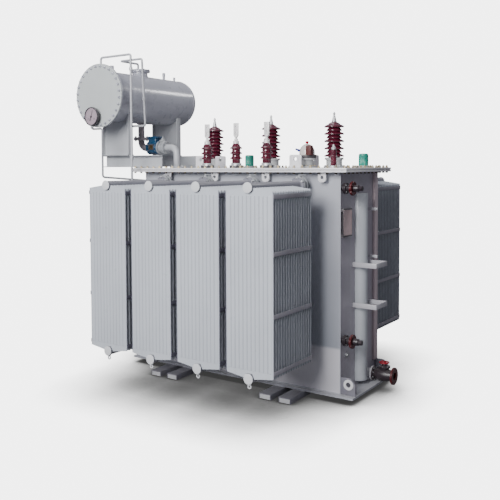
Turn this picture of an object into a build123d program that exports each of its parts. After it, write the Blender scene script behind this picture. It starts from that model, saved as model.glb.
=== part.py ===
from build123d import *
import os
from math import sqrt

# Oil-filled power transformer: a welded tank on skids, two banks of plate radiators, a conservator
# on a cantilever frame at the left end, and porcelain bushings on the bolted cover.
# Millimetres. The origin is on the ground under the middle of the whole object's box, +X points to
# the drain end, -Y to the side with the low-voltage bushings, +Z up. The pieces are drawn from the
# tank's centre and set in that frame as they are written.

# Place of the tank's centre in the frame
tank_x = 239

# Clearances
curved_gap = 0.3
running_gap = 0.1

# Skids and base plate
skid_height = 58
skid_width = 140
skid_wall = 10
skid_length = 1550
skid_spacing = 232
skid_pair_distance = 1460
base_thickness = 20
base_side_overhang = 65
base_end_overhang = 170

# Tank, rim flange, gasket and cover
tank_length = 2572
tank_width = 846
tank_height = 2219
tank_wall = 12
rim_overhang = 125
rim_thickness = 20
gasket_thickness = 4
gasket_inset = 8
cover_thickness = 20

# End wall stiffeners, tow lugs and lifting lugs
stiffener_radius = 92
stiffener_low_end = 50
stiffener_high_end = 219
edge_bar_width = 80
edge_bar_thickness = 28
tow_lug_length = 166
tow_lug_height = 172
tow_lug_thickness = 25
tow_lug_corner = 60
tow_hole_radius = 25
tow_hole_reach = 91
tow_hole_height = 107
lug_width = 145
lug_height = 140
lug_thickness = 20
lug_corner = 12
lug_hole_radius = 20
lug_hole_height = 95
lug_x = 637
lug_y = 190

# Radiators
radiator_count = 4
radiator_pitch = 592.5
header_drop = 127
radiator_gap = 347
panel_count = 16
panel_pitch = 45
panel_thickness = 12
panel_width = 520
panel_length = 1676
header_radius = 44.5
header_rise = 30
header_reach = 25
header_cap_radius = 50
header_cap_length = 12
flute_count = 6
flute_pitch = 72
flute_width = 20
flute_depth = 4
flute_margin = 90
valve_length = 160
valve_body_radius = 66
valve_body_length = 70
valve_flange_radius = 85
valve_flange_thickness = 18
strap_height = 40
strap_thickness = 6
strap_margin = 48
strap_inner_level = 279

# High-voltage bushings
hv_x = 20
hv_y = 300
hv_pitch = 824
hv_turret_height = 109
hv_flange_radius = 110
hv_flange_thickness = 16
hv_neck_radius = 88
hv_clamp_radius = 104
hv_clamp_thickness = 22
hv_body_radius = 66
hv_porcelain_height = 395
hv_big_shed = 107
hv_small_shed = 82
hv_shed_count = 9
hv_shed_pitch = 40.5
hv_first_shed = 12
hv_shed_rise = 28
hv_cap_radius = 27
hv_cap_height = 14
hv_cone_height = 76
hv_stud_radius = 8
hv_stud_height = 20

# Low-voltage and neutral bushings
lv_x = -95
lv_y = -250
lv_pitch = 405
lv_foot_radius = 76
lv_foot_thickness = 22
lv_neck_radius = 58
lv_neck_height = 32
lv_body_radius = 47
lv_porcelain_height = 215
lv_shed_radius = 64.5
lv_shed_count = 3
lv_shed_pitch = 57
lv_first_shed = 45
lv_shed_rise = 16
lv_cap_radius = 34
lv_cap_height = 34
lv_stud_radius = 13
lv_stud_height = 56
lv_flag_width = 64
lv_flag_thickness = 14
lv_flag_height = 140
lv_hole_radius = 7
lv_hole_spacing = 60
shed_undercut = 5
shed_rim = 8
neutral_x = 1121
neutral_foot_radius = 48
neutral_foot_height = 26
neutral_body_radius = 30
neutral_body_height = 160
neutral_cap_radius = 22
neutral_cap_height = 26
neutral_stud_radius = 9
neutral_stud_height = 28

# Relief valve and thermometer pockets on the cover
relief_x = 670
relief_y = 0
relief_flange_radius = 96
relief_flange_thickness = 18
relief_neck_radius = 68
relief_riser_height = 104
relief_ring_radius = 100
relief_ring_height = 30
relief_dome_radius = 84
relief_dome_side = 40
relief_dome_height = 85
relief_knob_radius = 18
relief_knob_height = 30
pocket_places = ((-254, 250), (1230, 230))
pocket_flange_radius = 62
pocket_flange_height = 20
pocket_cap_radius = 52
pocket_cap_height = 130
pocket_cap_fillet = 20

# Conservator
conservator_offset = 434
conservator_height = 857
shell_radius = 300
shell_wall = 6
shell_length = 1410
shell_front = -746
end_flange_radius = 375
end_flange_thickness = 16
end_cover_thickness = 14
dish_depth = 145
gauge_drop = 246
gauge_shift = -58
gauge_neck_radius = 58
gauge_neck_length = 32
gauge_radius = 112
gauge_depth = 40
manhole_y = -45
manhole_neck_radius = 95
manhole_plate_radius = 127
manhole_plate_thickness = 30
manhole_height = 76
plug_y = (-535, 410, 620)
plug_radius = (27, 20, 16)
plug_height = (76, 88, 50)

# Conservator frame and legs
beam_height = 140
beam_width = 58
beam_wall = 10
beam_y = 450
beam_inner_end = 690
pad_thickness = 12
leg_width = 430
leg_thickness = 12
leg_flange_depth = 80
leg_foot_thickness = 12
leg_foot_depth = 110

# Conservator pipework
small_pipe_radius = 13.5
conduit_radius = 12
small_bend = 45
breather_setback = 4.5
breather_top = 148
breather_reach = 480
breather_low = 1500
breather_cap_radius = 52
breather_cap_height = 22
breather_jar_radius = 44
breather_jar_height = 150
vent_setback = 30
vent_bend = 22.5
vent_leg_gap = 16
vent_rise = 72
vent_side_reach = 345
vent_low_reach = 390
vent_drop = 350
vent_entry = 120
conduit_reach = 126
conduit_setback = 40
conduit_drop = 36
conduit_bend = 24
conduit_stub = 60
conduit_turn = 59
conduit_end_y = -330
conduit_end_drop = 107
oil_y = -30
oil_pipe_radius = 40
oil_flange_radius = 98
oil_flange_thickness = 36
oil_flange_rise = 369
oil_axis_rise = 251
oil_bend = 85
relay_offset = 145
relay_length = 166
relay_body_radius = 78
relay_top_width = 150
relay_top_depth = 130
relay_top_rise = 146
relay_end_radius = 84
relay_end_thickness = 18
gate_length = 92
gate_body_radius = 60
gate_flange_radius = 84
gate_flange_thickness = 18
oil_drop_offset = 580
oil_foot_radius = 84
oil_foot_thickness = 18

# Fittings on the drain end wall
oil_valve_y = -374
oil_valve_drop = 159
oil_valve_rise = 536
oil_valve_steps = ((30, 19), (55, 35), (36, 44), (70, 26), (34, 52), (27, 38))
bracket_heights = (1348, 930)
bracket_reach = 264
bracket_width = 274
bracket_y = -9
bracket_bar_height = 50
bracket_bar_thickness = 10
arm_heights = (1907, 1406, 931)
arm_y = 168
arm_reach = 136
arm_bar_height = 30
arm_bar_thickness = 10
board_y = -318
board_below_valve = 345
board_width = 205
board_length = 284
board_thickness = 6
board_standoff = 24
board_rail_height = 30
drain_y = 180
drain_floor_gap = 5
drain_stub_radius = 44
drain_stub_length = 73
drain_flange_radius = 75
drain_flange_thickness = 36
drain_body_radius = 68
drain_body_length = 200
drain_outlet_radius = 90
drain_outlet_thickness = 22
drain_bore_radius = 40
drain_bore_depth = 60
drain_bolt_circle = 77
drain_bolt_radius = 7
drain_bolt_count = 4
drain_bonnet_reach = 214
bonnet_radius = 48
bonnet_height = 92
bonnet_flange_radius = 62
bonnet_flange_height = 16
gland_radius = 26
gland_height = 26
stem_radius = 10
stem_height = 34
wheel_rim_radius = 47.5
wheel_rim_section = 7
wheel_hub_radius = 17
wheel_hub_height = 26
wheel_spoke_count = 4
wheel_spoke_width = 10
wheel_spoke_height = 8

# Levels and half sizes that follow from the sizes above
half_length = tank_length / 2
half_width = tank_width / 2
base_bottom = skid_height
floor_top = base_bottom + base_thickness
rim_bottom = floor_top + tank_height
rim_top = rim_bottom + rim_thickness
cover_bottom = rim_top + gasket_thickness
cover_top = cover_bottom + cover_thickness
rim_half_length = half_length + rim_overhang
rim_half_width = half_width + rim_overhang

UP = (0, 0, 1)
os.makedirs("parts", exist_ok=True)


def plate(x_range, y_range, z_range):
    """Adds a flat plate that fills the three ranges."""
    (x0, x1), (y0, y1), (z0, z1) = x_range, y_range, z_range
    with Locations(((x0 + x1) / 2, (y0 + y1) / 2, (z0 + z1) / 2)):
        Box(x1 - x0, y1 - y0, z1 - z0)


def turned(profile, origin, direction):
    """Adds a turned piece; profile lists (radius, distance along the axis) corners."""
    axis = Axis(origin, direction)
    radial = Vector(0, 0, 1) if abs(axis.direction.X) > 0.5 else Vector(1, 0, 0)
    with BuildSketch(Plane(origin=origin, x_dir=radial, z_dir=radial.cross(axis.direction))) as half:
        with BuildLine():
            Polyline(*profile, close=True)
        make_face()
    revolve(half.sketch, axis=axis)


def stepped(steps, origin, direction):
    """Adds a turned piece of cylinders end to end; steps lists (radius, length)."""
    profile = [(0, 0)]
    reach = 0
    for radius, length in steps:
        profile += [(radius, reach), (radius, reach + length)]
        reach += length
    turned(profile + [(0, reach)], origin, direction)


def bent_pipe(points, radius, bend):
    """Adds a round pipe along straight runs joined by bends."""
    with BuildLine() as route:
        FilletPolyline(*points, radius=bend)
    with BuildSketch(Plane(origin=route.line @ 0, z_dir=route.line % 0)) as section:
        Circle(radius)
    sweep(section.sketch, path=route.line)


def ring(outer_x, outer_y, inner_x, inner_y, bottom, thickness):
    """Adds a flat rectangular ring; the sizes are half lengths."""
    with BuildSketch(Plane.XY.offset(bottom)) as outline:
        Rectangle(2 * outer_x, 2 * outer_y)
        Rectangle(2 * inner_x, 2 * inner_y, mode=Mode.SUBTRACT)
    extrude(outline.sketch, amount=thickness)


def shed_corners(body, rims, first, pitch, rise, height, top):
    """Corners of a porcelain with a drooping shed for each rim radius and a roof that narrows to the top."""
    corners = [(0, 0), (body, 0)]
    for index, rim in enumerate(rims):
        level = first + index * pitch
        corners += [(body, level + shed_undercut), (rim, level), (rim, level + shed_rim),
                    (body, level + rise)]
    return corners + [(top, height), (0, height)]


def save(piece, name):
    """Labels a finished piece, sets it in the frame and writes it."""
    piece.part.label = name
    piece.part.position = (tank_x, 0, 0)
    export_step(piece.part, f"parts/{name}.step")


# Skids: two pairs of channels, web up
with BuildPart() as skids:
    for pair_x in (-skid_pair_distance / 2, skid_pair_distance / 2):
        for side in (-1, 1):
            centre = pair_x + side * skid_spacing / 2
            with BuildSketch(Plane.XZ.offset(-skid_length / 2)):
                with Locations((centre, skid_height / 2)):
                    Rectangle(skid_width, skid_height)
                with Locations((centre, (skid_height - skid_wall) / 2)):
                    Rectangle(skid_width - 2 * skid_wall, skid_height - skid_wall, mode=Mode.SUBTRACT)
            extrude(amount=skid_length)
save(skids, "skids")

# Base plate, wider than the tank all round
with BuildPart() as base_plate:
    base_x = half_length + base_end_overhang
    base_y = half_width + base_side_overhang
    plate((-base_x, base_x), (-base_y, base_y), (base_bottom, floor_top))
save(base_plate, "base_plate")

# Tank walls: two long plates with the end plates between them
for name, side in (("tank_front_wall", -1), ("tank_back_wall", 1)):
    with BuildPart() as long_wall:
        inner = side * (half_width - tank_wall)
        outer = side * half_width
        plate((-half_length, half_length), sorted((inner, outer)), (floor_top, rim_bottom))
    save(long_wall, name)

for name, side in (("tank_left_wall", -1), ("tank_right_wall", 1)):
    with BuildPart() as end_wall:
        inner = side * (half_length - tank_wall)
        outer = side * half_length
        clear_y = half_width - tank_wall
        plate(sorted((inner, outer)), (-clear_y, clear_y), (floor_top, rim_bottom))
    save(end_wall, name)

# Rim flange, gasket and cover
with BuildPart() as tank_flange:
    ring(rim_half_length, rim_half_width, half_length - tank_wall, half_width - tank_wall,
         rim_bottom, rim_thickness)
save(tank_flange, "tank_flange")

with BuildPart() as cover_gasket:
    ring(rim_half_length - gasket_inset, rim_half_width - gasket_inset, half_length - tank_wall,
         half_width - tank_wall, rim_top, gasket_thickness)
save(cover_gasket, "cover_gasket")

with BuildPart() as tank_cover:
    plate((-rim_half_length, rim_half_length), (-rim_half_width, rim_half_width), (cover_bottom, cover_top))
save(tank_cover, "tank_cover")

# End stiffeners: a half-round rib in the middle of each end wall and a flat bar along one edge
with BuildPart() as end_stiffeners:
    for side in (-1, 1):
        wall_x = side * half_length
        rib_bottom = floor_top + stiffener_low_end
        rib_top = rim_bottom - stiffener_high_end
        with BuildSketch(Plane.XY.offset(rib_bottom)):
            with BuildLine():
                Polyline((wall_x, -stiffener_radius), (wall_x, stiffener_radius))
                ThreePointArc((wall_x, stiffener_radius), (wall_x + side * stiffener_radius, 0),
                              (wall_x, -stiffener_radius))
            make_face()
        extrude(amount=rib_top - rib_bottom)
        bar_x = sorted((wall_x, wall_x + side * edge_bar_thickness))
        plate(bar_x, (half_width - edge_bar_width, half_width), (floor_top + tow_lug_height, rim_bottom))
save(end_stiffeners, "end_stiffeners")

# Tow lugs: bored plates on the base at the tank's corners
with BuildPart() as tow_lugs:
    for end in (-1, 1):
        for face_y in (-half_width + tow_lug_thickness, half_width):
            with BuildSketch(Plane.XZ.offset(-face_y)):
                with BuildLine():
                    root = end * half_length
                    tip = end * (half_length + tow_lug_length)
                    lug_top = floor_top + tow_lug_height
                    Polyline((root, floor_top), (tip, floor_top), (tip, lug_top - tow_lug_corner),
                             (tip - end * tow_lug_corner, lug_top), (root, lug_top), close=True)
                make_face()
                with Locations((end * (half_length + tow_hole_reach), floor_top + tow_hole_height)):
                    Circle(tow_hole_radius, mode=Mode.SUBTRACT)
            extrude(amount=tow_lug_thickness)
save(tow_lugs, "tow_lugs")

# Lifting lugs standing on the cover
with BuildPart() as lifting_lugs:
    for x in (-lug_x, lug_x):
        for y in (-lug_y, lug_y):
            with BuildSketch(Plane.XZ.offset(-y - lug_thickness / 2)):
                with BuildLine():
                    top = cover_top + lug_height
                    left = x - lug_width / 2
                    right = x + lug_width / 2
                    Polyline((left, cover_top), (right, cover_top), (right, top - lug_corner),
                             (right - lug_corner, top), (left + lug_corner, top),
                             (left, top - lug_corner), close=True)
                make_face()
                with Locations((x, cover_top + lug_hole_height)):
                    Circle(lug_hole_radius, mode=Mode.SUBTRACT)
            extrude(amount=lug_thickness)
save(lifting_lugs, "lifting_lugs")

# Radiators: pressed panels side by side, notched round the header pipes at top and bottom, with
# pressed flutes in the face of the outermost one
stack_depth = (panel_count - 1) * panel_pitch + panel_thickness
stack_start = half_width + radiator_gap
stack_end = stack_start + stack_depth
radiator_places = [(index - (radiator_count - 1) / 2) * radiator_pitch for index in range(radiator_count)]
header_level = panel_length / 2 + header_rise
radiator_height = rim_bottom - header_drop - header_level
notch_radius = header_radius + curved_gap
notch_half_width = notch_radius * 2 / sqrt(3)
notch_half_floor = notch_radius / sqrt(3)


def panel_corners(centre_x):
    """Corners of one panel in the XZ plane, with a half-hexagon notch at each header."""
    half = panel_width / 2
    corner = panel_length / 2
    notch_floor = header_level - notch_radius
    upper = [(half, corner), (notch_half_width, header_level), (notch_half_floor, notch_floor),
             (-notch_half_floor, notch_floor), (-notch_half_width, header_level), (-half, corner)]
    lower = [(-x, -z) for x, z in upper]
    return [(centre_x + x, radiator_height + z) for x, z in upper + lower]


for bank, side in (("front", -1), ("back", 1)):
    panel_faces = [Plane.XZ.offset(-side * (stack_start + index * panel_pitch))
                   for index in range(panel_count)]
    for number, centre_x in enumerate(radiator_places, start=1):
        with BuildPart() as radiator:
            with BuildSketch(*panel_faces):
                with BuildLine():
                    Polyline(*panel_corners(centre_x), close=True)
                make_face()
            extrude(amount=-side * panel_thickness)
            with BuildSketch(Plane.XZ.offset(-side * stack_end)):
                with Locations((centre_x, radiator_height)):
                    with GridLocations(flute_pitch, 0, flute_count, 1):
                        Rectangle(flute_width, panel_length - 2 * flute_margin)
            extrude(amount=side * flute_depth, mode=Mode.SUBTRACT)
        save(radiator, f"{bank}_radiator_{number}")

# Straps along both sides of every stack of panels
with BuildPart() as radiator_straps:
    strap_x = [x + edge * (panel_width + strap_thickness) / 2 for x in radiator_places for edge in (-1, 1)]
    strap_y = (stack_start + stack_end) / 2
    strap_outer = panel_length / 2 - strap_margin
    strap_levels = (-strap_outer, -strap_inner_level, strap_inner_level, strap_outer)
    with Locations(*[(x, y, radiator_height + level)
                     for x in strap_x for y in (-strap_y, strap_y) for level in strap_levels]):
        Box(strap_thickness, stack_depth, strap_height)
save(radiator_straps, "radiator_straps")

# Header pipes with a capped end in front of the panels, and the butterfly valves at the tank
header_tip = stack_end + header_reach
valve_end = half_width + valve_length


def along_headers(near, far):
    """Middles of a stretch of every header, near and far from the tank's centre plane."""
    middle = (near + far) / 2
    levels = (radiator_height - header_level, radiator_height + header_level)
    return [Location((x, y, z), (90, 0, 0))
            for x in radiator_places for y in (-middle, middle) for z in levels]


with BuildPart() as radiator_headers:
    with Locations(*along_headers(valve_end, header_tip - header_cap_length)):
        Cylinder(header_radius, header_tip - header_cap_length - valve_end)
    with Locations(*along_headers(header_tip - header_cap_length, header_tip)):
        Cylinder(header_cap_radius, header_cap_length)
save(radiator_headers, "radiator_headers")

with BuildPart() as radiator_valves:
    with Locations(*along_headers(half_width, valve_end - valve_body_length)):
        Cylinder(header_radius, valve_length - valve_body_length)
    with Locations(*along_headers(valve_end - valve_body_length, valve_end)):
        Cylinder(valve_body_radius, valve_body_length)
    for far in (valve_end, valve_end - valve_body_length + valve_flange_thickness):
        with Locations(*along_headers(far - valve_flange_thickness, far)):
            Cylinder(valve_flange_radius, valve_flange_thickness)
save(radiator_valves, "radiator_valves")

# High-voltage bushings: metal turret, porcelain with long and short sheds, cap with a stud
hv_places = [hv_x + step * hv_pitch for step in (-1, 0, 1)]
hv_foot = cover_top + hv_turret_height
hv_top = hv_foot + hv_porcelain_height
with BuildPart() as hv_turrets:
    for x in hv_places:
        neck_height = hv_turret_height - hv_flange_thickness - hv_clamp_thickness
        stepped(((hv_flange_radius, hv_flange_thickness), (hv_neck_radius, neck_height),
                 (hv_clamp_radius, hv_clamp_thickness)), (x, hv_y, cover_top), UP)
save(hv_turrets, "hv_turrets")

with BuildPart() as hv_bushings:
    rims = [hv_small_shed if index % 2 else hv_big_shed for index in range(hv_shed_count)]
    for x in hv_places:
        turned(shed_corners(hv_body_radius, rims, hv_first_shed, hv_shed_pitch, hv_shed_rise,
                            hv_porcelain_height, hv_cap_radius), (x, hv_y, hv_foot), UP)
save(hv_bushings, "hv_bushings")

with BuildPart() as hv_terminals:
    cone_top = hv_cap_height + hv_cone_height
    stud_top = cone_top + hv_stud_height
    for x in hv_places:
        turned([(0, 0), (hv_cap_radius, 0), (hv_cap_radius, hv_cap_height), (hv_stud_radius, cone_top),
                (hv_stud_radius, stud_top), (0, stud_top)], (x, hv_y, hv_top), UP)
save(hv_terminals, "hv_terminals")

# Low-voltage bushings: cast foot, porcelain, and a stud with a flat terminal flag
lv_places = [lv_x + step * lv_pitch for step in (-1, 0, 1)]
lv_foot = cover_top + lv_foot_thickness + lv_neck_height
lv_top = lv_foot + lv_porcelain_height
with BuildPart() as lv_flanges:
    for x in lv_places:
        stepped(((lv_foot_radius, lv_foot_thickness), (lv_neck_radius, lv_neck_height)),
                (x, lv_y, cover_top), UP)
save(lv_flanges, "lv_flanges")

with BuildPart() as lv_bushings:
    for x in lv_places:
        turned(shed_corners(lv_body_radius, [lv_shed_radius] * lv_shed_count, lv_first_shed, lv_shed_pitch,
                            lv_shed_rise, lv_porcelain_height, lv_cap_radius), (x, lv_y, lv_foot), UP)
save(lv_bushings, "lv_bushings")

with BuildPart() as lv_terminals:
    for x in lv_places:
        stepped(((lv_cap_radius, lv_cap_height), (lv_stud_radius, lv_stud_height)), (x, lv_y, lv_top), UP)
        flag_bottom = lv_top + lv_cap_height + lv_stud_height
        plate((x - lv_flag_width / 2, x + lv_flag_width / 2),
              (lv_y - lv_flag_thickness / 2, lv_y + lv_flag_thickness / 2),
              (flag_bottom, flag_bottom + lv_flag_height))
        with Locations(Plane.XZ.offset(-lv_y)):
            with Locations((x, flag_bottom + lv_flag_height / 2)):
                with GridLocations(0, lv_hole_spacing, 1, 2):
                    Cylinder(lv_hole_radius, lv_flag_thickness, mode=Mode.SUBTRACT)
save(lv_terminals, "lv_terminals")

with BuildPart() as neutral_bushing:
    stepped(((neutral_foot_radius, neutral_foot_height), (neutral_body_radius, neutral_body_height),
             (neutral_cap_radius, neutral_cap_height), (neutral_stud_radius, neutral_stud_height)),
            (neutral_x, lv_y, cover_top), UP)
save(neutral_bushing, "neutral_bushing")

# Pressure relief valve on its riser
with BuildPart() as relief_riser:
    stepped(((relief_flange_radius, relief_flange_thickness),
             (relief_neck_radius, relief_riser_height - 2 * relief_flange_thickness),
             (relief_flange_radius, relief_flange_thickness)), (relief_x, relief_y, cover_top), UP)
save(relief_riser, "relief_riser")

with BuildPart() as relief_valve:
    dome_foot = relief_ring_height + relief_dome_side
    dome_top = dome_foot + relief_dome_height
    relief_foot = (relief_x, relief_y, cover_top + relief_riser_height)
    with BuildSketch(Plane(origin=relief_foot, x_dir=(1, 0, 0), z_dir=(0, -1, 0))):
        with BuildLine():
            knob_top = dome_top + relief_knob_height
            Polyline((relief_knob_radius, dome_top), (relief_knob_radius, knob_top), (0, knob_top), (0, 0),
                     (relief_ring_radius, 0), (relief_ring_radius, relief_ring_height),
                     (relief_dome_radius, relief_ring_height), (relief_dome_radius, dome_foot))
            RadiusArc((relief_dome_radius, dome_foot), (relief_knob_radius, dome_top), -relief_dome_radius)
        make_face()
    revolve(axis=Axis(relief_foot, UP))
save(relief_valve, "relief_valve")

# Thermometer pockets: round caps with a rounded top on a flange
with BuildPart() as thermometer_pockets:
    for x, y in pocket_places:
        stepped(((pocket_flange_radius, pocket_flange_height), (pocket_cap_radius, pocket_cap_height)),
                (x, y, cover_top), UP)
    fillet(thermometer_pockets.edges().group_by(Axis.Z)[-1], radius=pocket_cap_fillet)
save(thermometer_pockets, "thermometer_pockets")

# Conservator shell, the flange ring round its front end, bolted end cover and dished back end
conservator_x = -half_length - conservator_offset
conservator_z = cover_top + conservator_height
shell_back = shell_front + shell_length
shell_axis = Axis((conservator_x, 0, conservator_z), (0, 1, 0))
with BuildPart() as conservator_shell:
    bore = shell_radius - shell_wall
    turned([(bore, 0), (shell_radius, 0), (shell_radius, shell_length), (bore, shell_length)],
           (conservator_x, shell_front, conservator_z), (0, 1, 0))
save(conservator_shell, "conservator_shell")

with BuildPart() as conservator_flange:
    ring_bore = shell_radius + curved_gap
    turned([(ring_bore, 0), (end_flange_radius, 0), (end_flange_radius, end_flange_thickness),
            (ring_bore, end_flange_thickness)], (conservator_x, shell_front, conservator_z), (0, 1, 0))
save(conservator_flange, "conservator_flange")

with BuildPart() as conservator_end_cover:
    stepped(((end_flange_radius, end_cover_thickness),),
            (conservator_x, shell_front, conservator_z), (0, -1, 0))
save(conservator_end_cover, "conservator_end_cover")

with BuildPart() as conservator_dished_end:
    dish_radius = (shell_radius ** 2 + dish_depth ** 2) / (2 * dish_depth)
    dish_centre = dish_depth - dish_radius
    inner_radius = dish_radius - shell_wall
    inner_rim = sqrt(inner_radius ** 2 - dish_centre ** 2)
    with BuildSketch(Plane(origin=(conservator_x, shell_back, conservator_z), x_dir=(1, 0, 0), z_dir=UP)):
        with BuildLine():
            Line((inner_rim, 0), (shell_radius, 0))
            RadiusArc((shell_radius, 0), (0, dish_depth), -dish_radius)
            Line((0, dish_depth), (0, dish_depth - shell_wall))
            RadiusArc((0, dish_depth - shell_wall), (inner_rim, 0), inner_radius)
        make_face()
    revolve(axis=shell_axis)
save(conservator_dished_end, "conservator_dished_end")

# Level gauge on the end cover, below its middle
gauge_x = conservator_x + gauge_shift
gauge_z = conservator_z - gauge_drop
end_cover_face = shell_front - end_cover_thickness
with BuildPart() as level_gauge:
    stepped(((gauge_neck_radius, gauge_neck_length), (gauge_radius, gauge_depth)),
            (gauge_x, end_cover_face, gauge_z), (0, -1, 0))
save(level_gauge, "level_gauge")

# Manhole and plugs along the top of the shell, cut to its curve
with BuildPart() as conservator_fittings:
    neck_reach = shell_radius + manhole_height - manhole_plate_thickness
    stepped(((manhole_neck_radius, neck_reach), (manhole_plate_radius, manhole_plate_thickness)),
            (conservator_x, manhole_y, conservator_z), UP)
    for y, radius, height in zip(plug_y, plug_radius, plug_height):
        stepped(((radius, shell_radius + height),), (conservator_x, y, conservator_z), UP)
    with Locations(Location((conservator_x, shell_front + shell_length / 2, conservator_z), (90, 0, 0))):
        Cylinder(shell_radius + curved_gap, shell_length, mode=Mode.SUBTRACT)
save(conservator_fittings, "conservator_fittings")

# Conservator frame: two channels that lie on the cover and reach out past the tank's left end,
# tied at their outer ends by a third channel
beam_bottom = cover_top + pad_thickness
beam_top = beam_bottom + beam_height
beam_start = conservator_x - leg_width / 2
beam_end = conservator_x + beam_inner_end
with BuildPart() as conservator_frame:
    for side in (-1, 1):
        web_y = side * (beam_y - beam_width / 2)
        open_y = side * (beam_y + beam_width / 2)
        with BuildSketch(Plane.YZ.offset(beam_start)):
            with BuildLine():
                inner_y = web_y + side * beam_wall
                Polyline((open_y, beam_bottom), (web_y, beam_bottom), (web_y, beam_top), (open_y, beam_top),
                         (open_y, beam_top - beam_wall), (inner_y, beam_top - beam_wall),
                         (inner_y, beam_bottom + beam_wall), (open_y, beam_bottom + beam_wall), close=True)
            make_face()
        extrude(amount=beam_end - beam_start)
        plate((-rim_half_length, beam_end), sorted((web_y, open_y)), (cover_top, beam_bottom))
    clear_y = beam_y - beam_width / 2
    plate((beam_start, beam_start + beam_wall), (-clear_y, clear_y), (beam_bottom, beam_top))
    for level in (beam_bottom, beam_top - beam_wall):
        plate((beam_start, beam_start + beam_width), (-clear_y, clear_y), (level, level + beam_wall))
save(conservator_frame, "conservator_frame")

# Legs: flanged plates with a saddle that follows the shell
with BuildPart() as conservator_legs:
    saddle_radius = shell_radius + curved_gap
    for y in (-beam_y, beam_y):
        with BuildSketch(Plane.XY.offset(beam_top)):
            with Locations((conservator_x, y)):
                Rectangle(leg_width, leg_thickness)
            for edge in (-1, 1):
                with Locations((conservator_x + edge * (leg_width - leg_thickness) / 2, y)):
                    Rectangle(leg_thickness, leg_flange_depth)
        extrude(amount=conservator_z - beam_top)
        plate((conservator_x - leg_width / 2, conservator_x + leg_width / 2),
              (y - leg_foot_depth / 2, y + leg_foot_depth / 2), (beam_top, beam_top + leg_foot_thickness))
    with Locations(Location((conservator_x, 0, conservator_z), (90, 0, 0))):
        Cylinder(saddle_radius, shell_length, mode=Mode.SUBTRACT)
    split(bisect_by=Plane.XY.offset(conservator_z - sqrt(saddle_radius ** 2 - (leg_width / 2) ** 2)),
          keep=Keep.BOTTOM)
save(conservator_legs, "conservator_legs")

# Breather pipe from the shell's top, out past the tank and down beside the first radiator,
# with a drying jar on its lower end
shell_top = conservator_z + shell_radius
breather_x = conservator_x + breather_reach
breather_y = shell_front + end_flange_thickness + small_pipe_radius + breather_setback
with BuildPart() as breather_pipe:
    run_z = shell_top + breather_top
    bent_pipe([(conservator_x, breather_y, shell_top), (conservator_x, breather_y, run_z),
               (breather_x, breather_y, run_z), (breather_x, breather_y, breather_low)],
              small_pipe_radius, small_bend)
save(breather_pipe, "breather_pipe")

with BuildPart() as breather_jar:
    stepped(((breather_cap_radius, breather_cap_height), (breather_jar_radius, breather_jar_height),
             (breather_cap_radius, breather_cap_height)), (breather_x, breather_y, breather_low), (0, 0, -1))
save(breather_jar, "breather_jar")

# Vent pipe from the manhole plate over the shell and back into its underside
with BuildPart() as vent_pipe:
    plate_top = shell_top + manhole_height
    vent_top = plate_top + vent_rise
    vent_low = conservator_z - vent_drop
    vent_start_y = manhole_y - vent_setback
    vent_turn_y = vent_leg_gap + small_pipe_radius + leg_flange_depth / 2 - beam_y
    side_x = conservator_x + vent_side_reach
    low_x = conservator_x + vent_low_reach
    entry_x = conservator_x + vent_entry
    bent_pipe([(conservator_x, vent_start_y, plate_top), (conservator_x, vent_start_y, vent_top),
               (conservator_x, vent_turn_y, vent_top), (side_x, vent_turn_y, vent_top),
               (low_x, vent_turn_y, vent_low), (entry_x, vent_turn_y, vent_low),
               (entry_x, vent_turn_y, conservator_z)], small_pipe_radius, vent_bend)
    with Locations(Location((conservator_x, 0, conservator_z), (90, 0, 0))):
        Cylinder(shell_radius + curved_gap, shell_length, mode=Mode.SUBTRACT)
save(vent_pipe, "vent_pipe")

# Gauge conduit from the level gauge down to the tank's end wall
with BuildPart() as gauge_conduit:
    gauge_bottom = gauge_z - gauge_radius - curved_gap
    gauge_middle_y = end_cover_face - gauge_neck_length - gauge_depth / 2
    conduit_x = conservator_x + conduit_reach
    conduit_y = end_cover_face - conduit_setback
    conduit_top = gauge_bottom - conduit_drop
    conduit_low = rim_bottom - conduit_turn
    conduit_end_low = rim_bottom - conduit_end_drop
    bent_pipe([(gauge_x, gauge_middle_y, gauge_bottom), (gauge_x, gauge_middle_y, conduit_top),
               (conduit_x, conduit_y, conduit_top), (conduit_x, conduit_y, conduit_low),
               (-half_length - conduit_stub, conduit_end_y, conduit_end_low),
               (-half_length, conduit_end_y, conduit_end_low)], conduit_radius, conduit_bend)
save(gauge_conduit, "gauge_conduit")

# Oil pipe from the conservator down to the gas relay
oil_axis_height = cover_top + oil_axis_rise
relay_start = conservator_x + relay_offset
with BuildPart() as oil_outlet:
    bent_pipe([(conservator_x, oil_y, conservator_z), (conservator_x, oil_y, oil_axis_height),
               (relay_start, oil_y, oil_axis_height)], oil_pipe_radius, oil_bend)
    with Locations((conservator_x, oil_y, cover_top + oil_flange_rise)):
        Cylinder(oil_flange_radius, oil_flange_thickness)
    with Locations(Location((conservator_x, 0, conservator_z), (90, 0, 0))):
        Cylinder(shell_radius + curved_gap, shell_length, mode=Mode.SUBTRACT)
save(oil_outlet, "oil_outlet")

# Gas relay: flanged body with a squared top box
relay_end = relay_start + relay_length
with BuildPart() as gas_relay:
    body_length = relay_length - 2 * relay_end_thickness
    stepped(((relay_end_radius, relay_end_thickness), (relay_body_radius, body_length),
             (relay_end_radius, relay_end_thickness)), (relay_start, oil_y, oil_axis_height), (1, 0, 0))
    relay_middle = (relay_start + relay_end) / 2
    plate((relay_middle - relay_top_width / 2, relay_middle + relay_top_width / 2),
          (oil_y - relay_top_depth / 2, oil_y + relay_top_depth / 2),
          (oil_axis_height, oil_axis_height + relay_top_rise))
save(gas_relay, "gas_relay")

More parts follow.
